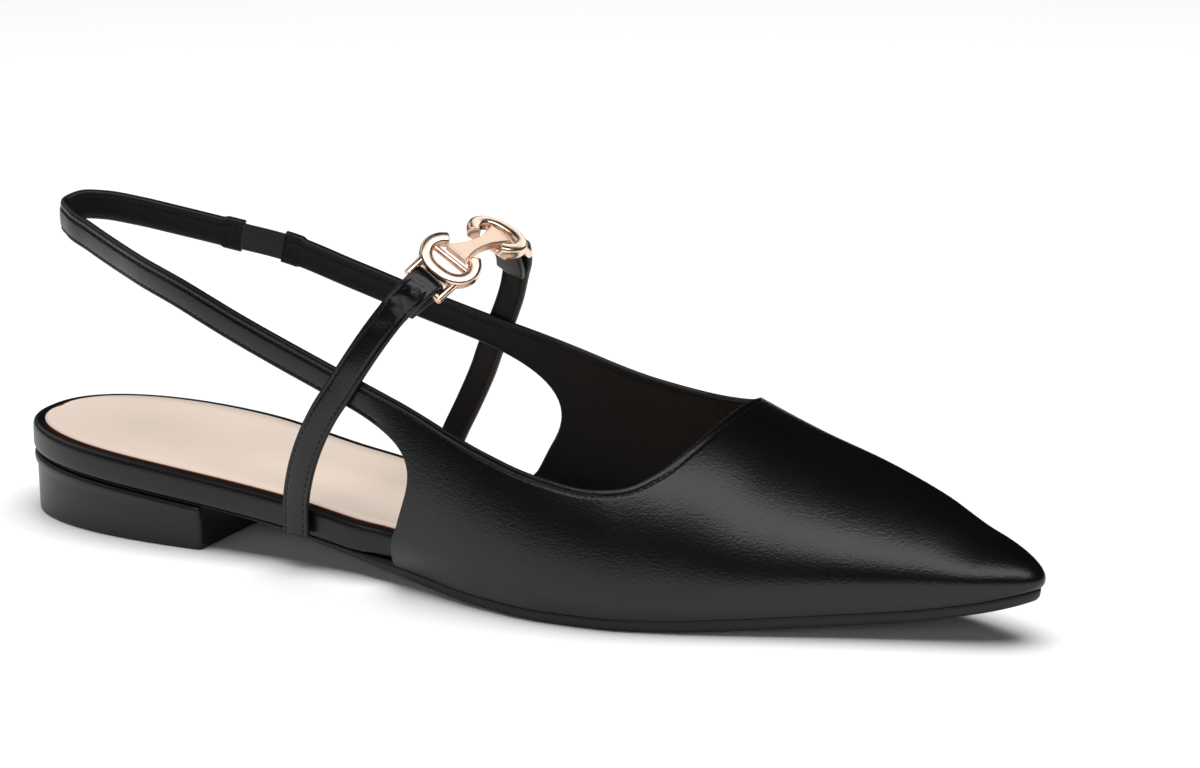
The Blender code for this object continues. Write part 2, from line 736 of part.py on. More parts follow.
def tube(name, points, radius, collection):
    """A round wire along points, as a mesh."""
    curve = bpy.data.curves.new(name + "_wire", "CURVE")
    curve.dimensions = "3D"
    curve.bevel_depth = radius * MM
    curve.bevel_resolution = WIRE_ROUNDNESS
    curve.use_fill_caps = True
    spline = curve.splines.new("POLY")
    spline.points.add(len(points) - 1)
    for point, co in zip(spline.points, to_scene(points)):
        point.co = (*co, 1.0)
    wire = add_object(name + "_wire", curve, collection)
    bpy.context.view_layer.update()
    mesh = bpy.data.meshes.new_from_object(wire.evaluated_get(bpy.context.evaluated_depsgraph_get()))
    bpy.data.objects.remove(wire)
    bm = bmesh.new()
    bm.from_mesh(mesh)
    bmesh.ops.remove_doubles(bm, verts=bm.verts, dist=WELD * MM)
    return add_mesh(name, bm, collection)


def make_link(name, collection, cutters):
    """A horseshoe with its open end at the plate, and a bar with knobs that the strap is folded round."""
    link = LINKS[name]
    lead = unit(link.lead)
    across = square_to(link.across, lead)
    bar_axis = square_to(link.across, unit(link.fold))

    def place(along, side):
        return np.array(link.tips) + lead * along + across * side

    def on_bar(side):
        return np.array(link.bar) + bar_axis * side

    half = [place(row.along, row.across) for row in HORSESHOE]
    other = [place(row.along, -row.across) for row in HORSESHOE]
    made = tube(name, path(half + other[-2::-1], LINK_COLUMNS), LINK_RADIUS, collection)
    for sign, end in ((-1, "back"), (1, "front")):
        post_foot = on_bar(sign * POST_OFFSET)
        join(made, rod(f"{name}_post_{end}", place(POST_FROM, sign * POST_OFFSET), post_foot, POST_RADIUS, cutters))
        knob = on_bar(sign * (BAR_HALF + KNOB_LENGTH))
        join(made, rod(f"{name}_knob_{end}", on_bar(sign * BAR_HALF), knob, KNOB_RADIUS, cutters))
    bar_half = BAR_HALF + KNOB_LENGTH / 2
    join(made, rod(f"{name}_bar", on_bar(-bar_half), on_bar(bar_half), BAR_RADIUS, cutters))
    return made


def make_plate(collection):
    """The waisted plate whose flared ends sit between the tips of the links."""
    u = np.linspace(0, PLATE_HALF_LENGTH, PLATE_COLUMNS)
    half = column(PLATE, "half_width", u)
    edge = np.concatenate([np.stack([u, half], 1), np.stack([u, -half], 1)[::-1]])
    back = edge[::-1] * (-1, 1)
    ring = np.concatenate([edge, back[1:-1]])
    curve = bpy.data.curves.new("bit_plate", "CURVE")
    curve.dimensions = "2D"
    curve.fill_mode = "BOTH"
    curve.extrude = (PLATE_THICKNESS / 2 - PLATE_BEVEL) * MM
    curve.bevel_depth = PLATE_BEVEL * MM
    curve.bevel_resolution = 0
    spline = curve.splines.new("POLY")
    spline.points.add(len(ring) - 1)
    spline.use_cyclic_u = True
    for point, (x, y) in zip(spline.points, ring * MM):
        point.co = (x, y, 0.0, 1.0)
    plate = add_object("bit_plate", curve, collection)
    across = Vector(PLATE_ACROSS).normalized()
    along = Vector((0.0, 1.0, 0.0))
    out = along.cross(across)
    turned = Matrix((along, across, out)).transposed().to_4x4()
    plate.matrix_world = Matrix.Translation(Vector(to_scene(PLATE_MIDDLE))) @ turned
    return plate


def add_material(piece):
    """A plain Principled material of the piece's own."""
    row = MATERIALS[piece.name]
    material = bpy.data.materials.new(piece.name)
    material.use_nodes = True
    shader = material.node_tree.nodes["Principled BSDF"]
    shader.inputs["Base Color"].default_value = (*row.colour, 1.0)
    shader.inputs["Roughness"].default_value = row.roughness
    shader.inputs["Metallic"].default_value = row.metallic
    piece.data.materials.append(material)


def main():
    for old in list(bpy.data.objects):
        bpy.data.objects.remove(old)
    parts = named_collection(OBJECT_NAME)
    cutters = named_collection(CUTTER_NAME)
    pieces = [
        make_outsole(parts),
        make_heel_block(parts),
        make_footbed(parts),
        make_sock(parts),
        make_upper(parts, cutters),
        make_elastic(parts),
        make_link("bit_link_lateral", parts, cutters),
        make_link("bit_link_medial", parts, cutters),
        make_plate(parts),
    ]
    for piece in pieces:
        add_material(piece)


main()
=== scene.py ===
"""Looks of a pointed slingback flat: leather upper, straps, stitching, sole, clasp and a studio floor.

Tables are in millimetres: x runs from the heel, whose back is at HEEL_BACK, to the toe, y to the inner
(medial) side of the foot and z up from the floor. to_scene turns them into metres about the shoe's middle.
"""

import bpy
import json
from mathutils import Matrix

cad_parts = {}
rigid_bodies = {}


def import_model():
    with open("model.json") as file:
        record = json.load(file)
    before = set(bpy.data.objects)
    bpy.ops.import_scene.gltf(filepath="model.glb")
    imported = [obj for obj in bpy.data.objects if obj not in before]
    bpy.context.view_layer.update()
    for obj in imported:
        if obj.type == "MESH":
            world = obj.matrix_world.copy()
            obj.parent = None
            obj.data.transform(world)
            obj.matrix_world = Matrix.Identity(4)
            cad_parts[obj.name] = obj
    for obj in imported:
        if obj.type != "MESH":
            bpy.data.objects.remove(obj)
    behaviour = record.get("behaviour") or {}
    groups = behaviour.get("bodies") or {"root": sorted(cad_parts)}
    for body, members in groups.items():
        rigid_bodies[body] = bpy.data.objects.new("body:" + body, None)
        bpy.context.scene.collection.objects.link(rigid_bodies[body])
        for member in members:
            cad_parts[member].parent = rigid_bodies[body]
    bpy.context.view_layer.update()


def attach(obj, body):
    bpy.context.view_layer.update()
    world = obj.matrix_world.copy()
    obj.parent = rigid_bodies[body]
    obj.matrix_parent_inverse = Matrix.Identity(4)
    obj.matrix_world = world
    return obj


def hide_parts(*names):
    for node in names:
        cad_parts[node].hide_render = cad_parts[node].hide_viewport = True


bl_info = {
    "name": "Slingback Sandal Looks",
    "version": (1, 0, 0),
    "blender": (4, 5, 0),
    "location": "View3D > Sidebar > Sandal",
    "description": "Dresses the solids of a pointed slingback flat in leather, thread and metal, on a floor",
    "category": "Object",
}

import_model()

import json
import math
from collections import namedtuple

import bmesh
import bpy
import numpy as np
from bpy.props import FloatProperty, FloatVectorProperty, PointerProperty
from mathutils import Matrix, Vector

BODY = "root"

# Materials of a leather wall, and the place of each among them
WALL_MATERIALS = ("upper_leather", "upper_lining", "upper_edge")
OUTSIDE = 0
INSIDE = 1
CUT_EDGE = 2

# One millimetre in the scene's metres
MM = 0.001

# Ends of the shoe, in millimetres as all tables and sizes down to the finishes are, the gap that the
# solids keep between each other, and how the heel, the toe's outline and its blunt nose round off
HEEL_BACK = -1.8
TOE_TIP = 263.0
SOLE_TIP = 262.2
GAP = 0.3
HEEL_ROUND = 45.0
HEEL_POWER = 2.35
TOE_ROUND = 18.0
TOE_POWER = 2.5
NOSE_ROUND = 13.0
NOSE_POWER = 1.9

# Upper: the turn from the widest line in to the feather edge and how far the leather sinks below that,
# the walls of the straps and the vamp, and the width and crown of the straps. The instep straps get wider
# towards their links
TUCK = 20.0
UPPER_SINK = 0.2
WALL = 1.7
VAMP_WALL = 1.2
SLING_WIDTH = 7.7
SLING_CAMBER = 0.5
INSTEP_WIDTH = 7.4
INSTEP_CROWN = 0.25
INSTEP_FLARE = 0.2
FLARE_TO = 2.0
FLARE_FROM = 14.0

# Footbed: how far its rand goes in under the vamp, and where along the shoe it starts to and has, and the
# sock on it, whose faces count as its raw edge where their normal's rise is less than SOCK_EDGE_RISE
RAND_COVERED = 1.8
RAND_COVER_FROM = 100.0
RAND_COVER_TO = 111.0
SOCK_INSET = 3.0
SOCK_GAP = 0.05
SOCK_THICKNESS = 0.4
SOCK_DISH = 0.3
SOCK_EDGE_RISE = 0.5

# Heel block and outsole, which is narrower by HEEL_RECESS behind the vamp
HEEL_BREAST = 58.7
HEEL_INSET = 0.1
HEEL_TAPER = 0.9
HEEL_RECESS = 0.9
HEEL_CORNER = 1.3
HEEL_GAP = 0.1
OUTSOLE_INSET = 0.1

# Elastic: its ends along the shoe and its size, and the turned ends of the sling that hold it, with the
# distances from the elastic at which they start to slim down to the plain strap and have, and those of
# their seams
ELASTIC_FROM = 42.6
ELASTIC_TO = 53.4
ELASTIC_WIDTH = 6.4
ELASTIC_THICKNESS = 1.2
SLEEVE_EXTRA = 0.4
SLEEVE_FROM = 4.3
SLEEVE_TO = 5.8
SLEEVE_SEAMS = (1.2, 4.3)

# Clasp: the bars that the strap ends are folded round, the links with their posts and pins, how the
# folded strap ends run, and the plate. A section of power 2 is round, and of more is squarer
BAR_RADIUS = 0.9
BAR_HALF = 5.4
LINK_HALF_WIDTH = 1.6
LINK_HALF_HEIGHT = 1.5
LINK_POWER = 3.0
ROUND_POWER = 2.0
POST_RADIUS = 0.95
POST_OFFSET = 4.85
POST_FROM = 6.6
POST_END = 0.7
PIN_RADIUS = 0.75
PIN_HALF = 5.6
STRAP_RETURN = 7.0
FOLD_LEAD = 3.0
PLATE_HALF_LENGTH = 10.9
PLATE_THICKNESS = 1.6
CLASP_BEVEL = 0.3
BEVEL_SEGMENTS = 3
BEVEL_ANGLE = 50.0

# How a wall's edges are rounded, and how its rows of points lie closer together near them
EDGE_ROUND = 0.5
EDGE_STEPS = 5
EDGE_REACH = 3.2
EDGE_ROWS = 12
FACE_ROWS = 44
ROW_CROWDING = 1.25

# Grooves that the stitching pulls into the leather
GROOVE_DEPTH = 0.2
GROOVE_WIDTH = 0.32

# Where along the shoe the columns of the vamp change from straight down its side to fanned out over the
# toe, and how much closer together they stand at the tip. A fanned column climbs by LEAST_CLIMB degrees
# or more
FAN_FROM = 170.0
FAN_TO = 215.0
TIP_CROWDING = 1.5
LEAST_CLIMB = 1.0

# Where along the shoe a ring of the sole starts to get slimmer and shorter towards the tip, and how much
# shorter
TIP_FROM = 195.0
TIP_TO = 235.0
TIP_PULL = 1.6

# How much wider apart the columns of the vamp stand along the topline at its ends than in its middle
TOP_SPREAD = 0.6

# How far a column of the vamp bows towards the toe by the cut-outs, for each degree that it runs down, so
# that it keeps clear of their rounded fronts, and where along the shoe this fades out
COLUMN_BOW = 0.09
BOW_FROM = 130.0
BOW_TO = 170.0

# Mesh density: counts of points and faces, distances between columns, the share of a vamp's column that
# lies below the widest line, and over how many columns and how often vamp and sling are evened out
SOLE_STATIONS = 110
SOLE_ACROSS = 12
HEEL_STATIONS = 48
CORNER_STEPS = 6
BODY_COLUMNS_CUT = 26
BODY_COLUMNS_SIDE = 96
COLUMN_STEPS = 240
TUCK_SHARE = 0.2
STRAP_SPACING = 1.3
SLEEVE_REACH = 8.0
SLEEVE_COLUMNS = 33
JOINT_REACH = 16
JOINT_PASSES = 40
INSTEP_COLUMNS = 190
INSTEP_ROWS = 38
FOLD_COLUMNS = 17
RETURN_COLUMNS = 16
LINK_COLUMNS = 64
ELASTIC_COLUMNS = 40
ELASTIC_ROWS = 12
PLATE_COLUMNS = 40
PLATE_ROWS = 5
BAR_SIDES = 28
STITCH_AROUND = 6
STITCH_ALONG = 4
PATH_STEPS = 40
FEATHER_STEPS = 400

# Points closer together than WELD are merged, and TINY keeps a division from zero
WELD = 0.01
TINY = 1e-6

# The last: half widths at the feather edge (sole) and at the widest line (wall), the feather edge's
# height, the widest line's height over it, the height and the y of the ridge, and the section's roundness
# over the widest line, where 2 is an ellipse and less is flatter between ridge and shoulder
LastRow = namedtuple(
    "LastRow", "x sole_lateral sole_medial wall_lateral wall_medial feather bulge ridge ridge_y roundness")
LAST = [
    LastRow(HEEL_BACK, 27.2, 27.2, 28.0, 28.0, 15.8, 12.0, 110.0, 0.0, 2.1),
    LastRow(45, 27.2, 27.2, 28.0, 28.0, 12.7, 12.0, 100.0, 0.0, 2.1),
    LastRow(80, 25.7, 23.0, 30.0, 28.5, 9.0, 12.0, 88.0, 2.0, 2.1),
    LastRow(110, 27.4, 22.6, 31.5, 28.5, 5.2, 11.0, 78.0, 4.0, 2.1),
    LastRow(140, 35.0, 27.3, 36.8, 31.0, 3.4, 8.0, 65.0, 6.0, 2.1),
    LastRow(155, 37.0, 32.4, 38.2, 34.2, 3.0, 6.5, 58.5, 6.5, 2.1),
    LastRow(170, 36.0, 37.1, 37.2, 38.3, 2.9, 6.0, 52.0, 6.5, 2.1),
    LastRow(185, 31.8, 35.8, 33.0, 37.0, 3.2, 6.0, 45.8, 7.0, 2.08),
    LastRow(200, 26.0, 31.0, 27.2, 32.2, 4.1, 6.8, 39.7, 11.0, 1.9),
    LastRow(218, 18.6, 23.6, 19.8, 24.8, 5.6, 7.0, 34.4, 12.0, 1.75),
    LastRow(235, 12.0, 16.2, 13.2, 17.4, 7.2, 6.4, 28.9, 10.0, 1.7),
    LastRow(250, 6.9, 11.1, 8.0, 12.2, 9.7, 4.6, 22.5, 7.0, 1.75),
    LastRow(263, 4.0, 8.4, 5.2, 9.6, 12.8, 1.6, 19.8, 3.0, 2.0),
]

# Thickness of the outsole and height of the footbed's rand along the shoe
SoleRow = namedtuple("SoleRow", "x outsole rand")
SOLE = [
    SoleRow(HEEL_BACK, 0.5, 6.5),
    SoleRow(62, 0.5, 6.5),
    SoleRow(100, 1.9, 6.5),
    SoleRow(128, 3.0, 5.4),
    SoleRow(155, 3.0, 3.6),
    SoleRow(235, 3.0, 3.0),
    SoleRow(263, 2.9, 2.0),
]

# Side of the outsole: how far in and how high, as a share of its thickness, each line of its rounded edge
# lies
OutsoleRow = namedtuple("OutsoleRow", "inset rise")
OUTSOLE = [
    OutsoleRow(1.2, 0.0),
    OutsoleRow(0.5, 0.1),
    OutsoleRow(0.12, 0.32),
    OutsoleRow(0.0, 0.7),
    OutsoleRow(0.0, 1.0),
]

# Side of the heel block: how far below its top and how far in each line of its lip lies, and how far
# above the floor and how much further in each line of its rounded foot
HeelRow = namedtuple("HeelRow", "below inset")
HeelFootRow = namedtuple("HeelFootRow", "above inset")
HEEL_FOOT = [
    HeelFootRow(0.0, 0.7),
    HeelFootRow(0.15, 0.35),
    HeelFootRow(0.45, 0.1),
    HeelFootRow(1.0, 0.0),
]
HEEL_SIDE = [
    HeelRow(3.4, 0.75),
    HeelRow(2.8, 0.55),
    HeelRow(2.2, 0.2),
    HeelRow(1.2, 0.05),
    HeelRow(0.6, 0.1),
    HeelRow(0.2, 0.35),
    HeelRow(0.0, 0.8),
]

# Side of the rand: how far in and how high, as a share of its height, each line of its rounded edge lies
RandRow = namedtuple("RandRow", "inset rise")
RAND = [
    RandRow(1.2, 0.0),
    RandRow(0.55, 0.02),
    RandRow(0.2, 0.06),
    RandRow(0.04, 0.14),
    RandRow(0.0, 0.26),
    RandRow(0.0, 0.72),
    RandRow(0.06, 0.86),
    RandRow(0.24, 0.96),
    RandRow(0.6, 1.02),
    RandRow(1.2, 1.04),
    RandRow(1.9, 1.03),
    RandRow(2.7, 1.0),
]

# Edges of the vamp on the last: turn is 0 on the lateral widest line, 90 on the ridge and 180 on the
# medial widest line, and TUCK beyond those on the feather edge
EdgeRow = namedtuple("EdgeRow", "x turn")
TOPLINE = [
    EdgeRow(111, 28.0),
    EdgeRow(130, 27.5),
    EdgeRow(155, 28.0),
    EdgeRow(168, 30.2),
    EdgeRow(175, 34.2),
    EdgeRow(180, 41.5),
    EdgeRow(184, 54.0),
    EdgeRow(186.4, 69.0),
    EdgeRow(187.2, 86.0),
    EdgeRow(186.6, 103.0),
    EdgeRow(184, 117.0),
    EdgeRow(178.5, 129.0),
    EdgeRow(169, 137.0),
    EdgeRow(155, 140.2),
    EdgeRow(135, 141.2),
    EdgeRow(115, 143.4),
]
CUT_LATERAL = [
    EdgeRow(111.4, 20.2),
    EdgeRow(117.5, 18.7),
    EdgeRow(120.2, 16.5),
    EdgeRow(120.6, 12.5),
    EdgeRow(118.2, 4.5),
    EdgeRow(115.4, -4.0),
    EdgeRow(113.2, -TUCK),
]
CUT_MEDIAL = [
    EdgeRow(118, 180 + TUCK),
    EdgeRow(120, 184.0),
    EdgeRow(124.2, 175.2),
    EdgeRow(127.8, 168.4),
    EdgeRow(129.4, 163.8),
    EdgeRow(129.0, 159.8),
    EdgeRow(126.4, 156.6),
    EdgeRow(122, 154.4),
    EdgeRow(116, 152.5),
]

# Upper edge of the sling strap, from the lateral quarter round the heel to the medial quarter
PlaceRow = namedtuple("PlaceRow", "x y z")
SLING = [
    PlaceRow(92, -27.7, 53.0),
    PlaceRow(72.5, -26.8, 59.9),
    PlaceRow(54, -24.0, 66.0),
    PlaceRow(39.5, -19.0, 68.8),
    PlaceRow(28, -13.0, 70.4),
    PlaceRow(16, -7.0, 72.6),
    PlaceRow(7.2, -2.6, 74.4),
    PlaceRow(2.8, 1.6, 75.7),
    PlaceRow(4.6, 6.0, 76.9),
    PlaceRow(10, 10.0, 76.7),
    PlaceRow(17, 14.6, 75.0),
    PlaceRow(26.5, 18.6, 72.7),
    PlaceRow(41, 22.6, 69.7),
    PlaceRow(54, 25.0, 67.3),
    PlaceRow(72.7, 26.4, 62.0),
    PlaceRow(92, 27.2, 56.6),
]

# Middle line of each instep strap, from its foot on the outsole to just short of its link
INSTEP = {
    "lateral": [
        PlaceRow(86.7, -27.2, 8.9),
        PlaceRow(87.2, -27.8, 17.0),
        PlaceRow(88.8, -28.6, 23.4),
        PlaceRow(91.9, -29.2, 31.6),
        PlaceRow(96.3, -29.3, 39.9),
        PlaceRow(100.7, -28.9, 46.4),
        PlaceRow(104.3, -28.4, 52.0),
        PlaceRow(108.6, -26.4, 59.0),
        PlaceRow(112.2, -23.8, 64.6),
    ],
    "medial": [
        PlaceRow(94.5, 24.2, 7.6),
        PlaceRow(96.3, 25.5, 14.4),
        PlaceRow(98.8, 26.9, 21.6),
        PlaceRow(102.1, 28.3, 29.2),
        PlaceRow(106, 28.4, 37.6),
        PlaceRow(109.4, 26.8, 44.6),
        PlaceRow(113.8, 25.1, 52.8),
        PlaceRow(116.6, 24.0, 59.0),
        PlaceRow(119.2, 21.8, 65.8),
    ],
}

# The links of the clasp: the side of the shoe as the sign of its y, the middle between the two tips, the
# way from there to the closed end and its axis across, the middle of the bar that a strap end is folded
# round and the way that this fold points, and how far from the tips and how far below them the pin lies
# that carries the plate
LinkRow = namedtuple("LinkRow", "side tips lead across bar fold pin pin_drop")
LINKS = {
    "lateral": LinkRow(-1, (121.2, -8.0, 76.8), (-0.26, -0.84, -0.47), (0.76, -0.12, -0.63),
                       (117.8, -19.6, 70.5), (0.42, 0.70, 0.58), 3.8, 0.0),
    "medial": LinkRow(1, (121.0, 4.4, 76.2), (0.10, 0.98, 0.07), (0.92, -0.06, -0.40),
                      (121.0, 16.6, 72.2), (0.10, -0.35, 0.93), 1.2, 1.5),
}

# Half of a link's horseshoe from its tip: along its lead and across
ShoeRow = namedtuple("ShoeRow", "along across")
HORSESHOE = [
    ShoeRow(0.0, 3.9),
    ShoeRow(1.6, 5.4),
    ShoeRow(4.2, 6.2),
    ShoeRow(6.6, 5.3),
    ShoeRow(8.1, 3.2),
    ShoeRow(8.6, 0.0),
]

# The plate between the links: middle, direction across it and its half width along its half length
PLATE_MIDDLE = (121.4, -0.7, 76.6)
PLATE_ACROSS = (0.85, 0.0, -0.52)
PlateRow = namedtuple("PlateRow", "x half_width")
PLATE = [
    PlateRow(0.0, 1.45),
    PlateRow(3.5, 1.6),
    PlateRow(6.5, 2.1),
    PlateRow(9.0, 2.7),
    PlateRow(PLATE_HALF_LENGTH, 3.2),
]

# Creases of an instep strap by its link: how far back from the fold and at which share across, how much
# it slants, half its length as a share of the strap's half width, its depth and its width
CreaseRow = namedtuple("CreaseRow", "back side slant reach depth width")
CREASES = [
    CreaseRow(1.0, 0.1, 0.5, 0.9, 0.22, 0.7),
    CreaseRow(3.0, -0.4, -1.3, 0.6, 0.34, 0.8),
    CreaseRow(4.4, 0.5, 1.6, 0.5, 0.30, 0.9),
    CreaseRow(6.6, -0.1, -2.2, 0.7, 0.28, 0.9),
    CreaseRow(8.6, 0.5, 2.0, 0.5, 0.22, 1.1),
    CreaseRow(11.5, -0.4, -2.4, 0.6, 0.16, 1.3),
    CreaseRow(14.0, 0.3, 2.0, 0.6, 0.10, 1.5),
]

# Finishes: how the leather's grain is drawn out along the shoe, its share of noise and how that noise's
# scale compares with the cells', how strongly the grain is pressed in, the scale of the patches of
# changing gloss on leather and metal and how far the roughness goes down and up there, how much light
# leather and lining throw back, and the darkest and lightest shade of the sock's colour
GRAIN_STRETCH = (0.55, 1.0, 1.0)
GRAIN_NOISE = 0.45
NOISE_SCALE = 0.55
GRAIN_STRENGTH = 0.7
LEATHER_PATCHES = 60.0
LEATHER_CHANGE = (-0.04, 0.05)
METAL_PATCHES = 400.0
METAL_CHANGE = (-0.04, 0.06)
LEATHER_SPECULAR = 0.42
LINING_SPECULAR = 0.22
SOCK_DARK = 0.95
SOCK_LIGHT = 1.04

# Places of the sockets for colours in a mix node
MIX_FACTOR = 0
MIX_FIRST = 6
MIX_SECOND = 7
MIX_RESULT = 2

# Camera of the photograph's view
CAMERA_AZIMUTH = 27.69
CAMERA_ELEVATION = 15.07
CAMERA_ROLL = -0.19
CAMERA_PLACE = (0.44261, -0.80056, 0.29013)
CAMERA_LENS = 121.53
SENSOR_WIDTH = 36.0

# The floor: half its side in metres, and its cells along each side
FLOOR_REACH = 6.0
FLOOR_CELLS = 4

# The light panels: place and size in metres, the setting that gives the power, and the pieces that a
# panel lights alone, or leaves out
FLOOR_AND_SOCK = ("studio_floor", "sock")
CLASP = ("clasp_link_lateral", "clasp_link_medial", "clasp_plate")
PanelRow = namedtuple("PanelRow", "name place size power pieces state")
PANELS = [
    PanelRow("key_panel", (0.55, -0.66, 1.45), (2.4, 1.0), "key_power", FLOOR_AND_SOCK, "EXCLUDE"),
    PanelRow("side_panel", (-1.37, 0.12, 1.16), (2.2, 1.3), "side_power", FLOOR_AND_SOCK, "EXCLUDE"),
    PanelRow("clasp_panel", (0.0, 1.3, 0.85), (1.2, 0.8), "clasp_power", CLASP, "INCLUDE"),
    PanelRow("floor_panel", (0.0, 0.12, 2.0), (2.1, 2.1), "floor_power", FLOOR_AND_SOCK, "INCLUDE"),
    PanelRow("low_panel", (0.1, -1.6, 0.45), (3.0, 0.8), "low_power", FLOOR_AND_SOCK, "INCLUDE"),
]


class SandalLeather(bpy.types.PropertyGroup):
    """Colours, gloss and grain of the leather pieces, and colours of elastic and outsole."""

    colour: FloatVectorProperty(
        name="Upper colour", description="Colour of the upper's leather", subtype="COLOR",
        default=(0.0024, 0.0024, 0.0025), min=0.0, max=1.0)
    roughness: FloatProperty(
        name="Upper roughness", description="How soft the upper's gloss is", subtype="FACTOR",
        default=0.30, min=0.0, max=1.0)
    grain: FloatProperty(
        name="Grain", description="Size of one cell of the upper's grain", subtype="DISTANCE", unit="LENGTH",
        default=0.0005, min=0.0001, max=0.005, precision=5)
    cut: FloatVectorProperty(
        name="Cut edge colour", description="Colour of the upper's dyed cut edges", subtype="COLOR",
        default=(0.0075, 0.0048, 0.0040), min=0.0, max=1.0)
    lining: FloatVectorProperty(
        name="Lining colour", description="Colour inside the upper", subtype="COLOR",
        default=(0.0020, 0.0020, 0.0020), min=0.0, max=1.0)
    sock: FloatVectorProperty(
        name="Sock colour", description="Colour of the sock on the footbed", subtype="COLOR",
        default=(0.71, 0.59, 0.50), min=0.0, max=1.0)
    sock_edge: FloatVectorProperty(
        name="Sock edge colour", description="Colour of the sock's raw edge", subtype="COLOR",
        default=(0.35, 0.12, 0.07), min=0.0, max=1.0)
    elastic: FloatVectorProperty(
        name="Elastic colour", description="Colour of the elastic in the sling", subtype="COLOR",
        default=(0.0062, 0.0060, 0.0056), min=0.0, max=1.0)
    outsole: FloatVectorProperty(
        name="Outsole colour", description="Colour of the outsole", subtype="COLOR",
        default=(0.006, 0.006, 0.006), min=0.0, max=1.0)


class SandalThread(bpy.types.PropertyGroup):
    """Sizes and colour of the stitching."""

    pitch: FloatProperty(
        name="Pitch", description="Distance from one stitch to the next", subtype="DISTANCE", unit="LENGTH",
        default=0.0017, min=0.0005, max=0.01, precision=5)
    length: FloatProperty(
        name="Length", description="Length of one stitch", subtype="DISTANCE", unit="LENGTH",
        default=0.0013, min=0.0003, max=0.01, precision=5)
    thickness: FloatProperty(
        name="Thickness", description="Thickness of the thread", subtype="DISTANCE", unit="LENGTH",
        default=0.00038, min=0.0001, max=0.002, precision=5)
    topline_inset: FloatProperty(
        name="Topline inset", description="Distance of the stitching from the topline", subtype="DISTANCE",
        unit="LENGTH", default=0.0017, min=0.0005, max=0.005, precision=5)
    strap_inset: FloatProperty(
        name="Strap inset", description="Distance of the stitching from a strap's edge", subtype="DISTANCE",
        unit="LENGTH", default=0.0012, min=0.0005, max=0.003, precision=5)
    colour: FloatVectorProperty(
        name="Thread colour", description="Colour of the thread", subtype="COLOR",
        default=(0.0016, 0.0016, 0.0017), min=0.0, max=1.0)


class SandalMetal(bpy.types.PropertyGroup):
    """Finish of the clasp."""

    colour: FloatVectorProperty(
        name="Metal colour", description="Colour of the clasp's plating", subtype="COLOR",
        default=(0.93, 0.70, 0.55), min=0.0, max=1.0)
    roughness: FloatProperty(
        name="Link roughness", description="How soft the gloss of the clasp's links is", subtype="FACTOR",
        default=0.22, min=0.0, max=1.0)
    satin: FloatProperty(
        name="Plate roughness", description="How soft the gloss of the clasp's plate is", subtype="FACTOR",
        default=0.36, min=0.0, max=1.0)


class SandalStage(bpy.types.PropertyGroup):
    """Floor and light of the studio."""

    floor: FloatVectorProperty(
        name="Floor colour", description="Colour of the floor", subtype="COLOR",
        default=(0.95, 0.95, 0.95), min=0.0, max=1.0)
    key_power: FloatProperty(
        name="Key power", description="Power of the wide panel before the shoe", subtype="POWER",
        unit="POWER", default=22.0, min=0.0, max=2000.0)
    side_power: FloatProperty(
        name="Side power", description="Power of the panel behind the heel", subtype="POWER", unit="POWER",
        default=6.0, min=0.0, max=2000.0)
    clasp_power: FloatProperty(
        name="Clasp power", description="Power of the panel that is mirrored in the clasp", subtype="POWER",
        unit="POWER", default=4.0, min=0.0, max=2000.0)
    floor_power: FloatProperty(
        name="Floor power", description="Power of the panel over floor and sock", subtype="POWER",
        unit="POWER", default=62.0, min=0.0, max=2000.0)
    low_power: FloatProperty(
        name="Low power", description="Power of the low panel that softens the shadow under the arch",
        subtype="POWER", unit="POWER", default=9.0, min=0.0, max=2000.0)
    fill: FloatProperty(
        name="Fill", description="Light that comes from all around", default=0.02, min=0.0, max=2.0)


def between(t, step, low, high, low_slope, high_slope):
    """A smooth curve at share t of a step from low to high, with the given slopes at both."""
    start = (1 + 2 * t) * (1 - t) ** 2 * low + t * (1 - t) ** 2 * step * low_slope
    end = t * t * (3 - 2 * t) * high + t * t * (t - 1) * step * high_slope
    return start + end


def column(rows, name, x):
    """The named column of a table at x, on a smooth curve that doesn't overshoot its rows."""
    xs = np.array([row.x for row in rows], float)
    ys = np.array([getattr(row, name) for row in rows], float)
    steps = np.diff(xs)
    rises = np.diff(ys) / steps
    product = rises[1:] * rises[:-1]
    total = np.where(product > 0, rises[1:] + rises[:-1], 1.0)
    slopes = np.r_[rises[0], np.where(product > 0, 2 * product / total, 0.0), rises[-1]]
    x = np.asarray(x, float)
    i = np.clip(np.searchsorted(xs, x) - 1, 0, len(xs) - 2)
    return between((x - xs[i]) / steps[i], steps[i], ys[i], ys[i + 1], slopes[i], slopes[i + 1])


def ease(x, low, high):
    """0 below low, 1 above high, and a smooth step between."""
    t = np.clip((np.asarray(x, float) - low) / (high - low), 0, 1)
    return t * t * (3 - 2 * t)


def lengths(points):
    """Length along a polyline at each of its points."""
    return np.r_[0, np.cumsum(np.linalg.norm(np.diff(points, axis=0), axis=1))]


def fine_path(points):
    """A smooth curve through the given points, as a fine polyline."""
    points = np.array(points, float)
    chord = lengths(points)
    slopes = np.gradient(points, chord, axis=0)
    s = np.linspace(0, chord[-1], PATH_STEPS * len(points))
    i = np.clip(np.searchsorted(chord, s) - 1, 0, len(chord) - 2)
    step = (chord[i + 1] - chord[i])[:, None]
    t = (s - chord[i])[:, None] / step
    return between(t, step, points[i], points[i + 1], slopes[i], slopes[i + 1])


def sample(polyline, measure, shares):
    """Points of a polyline at shares of its length, where measure is the length along it."""
    at = np.asarray(shares) * measure[-1]
    return np.stack([np.interp(at, measure, axis) for axis in polyline.T], axis=-1)


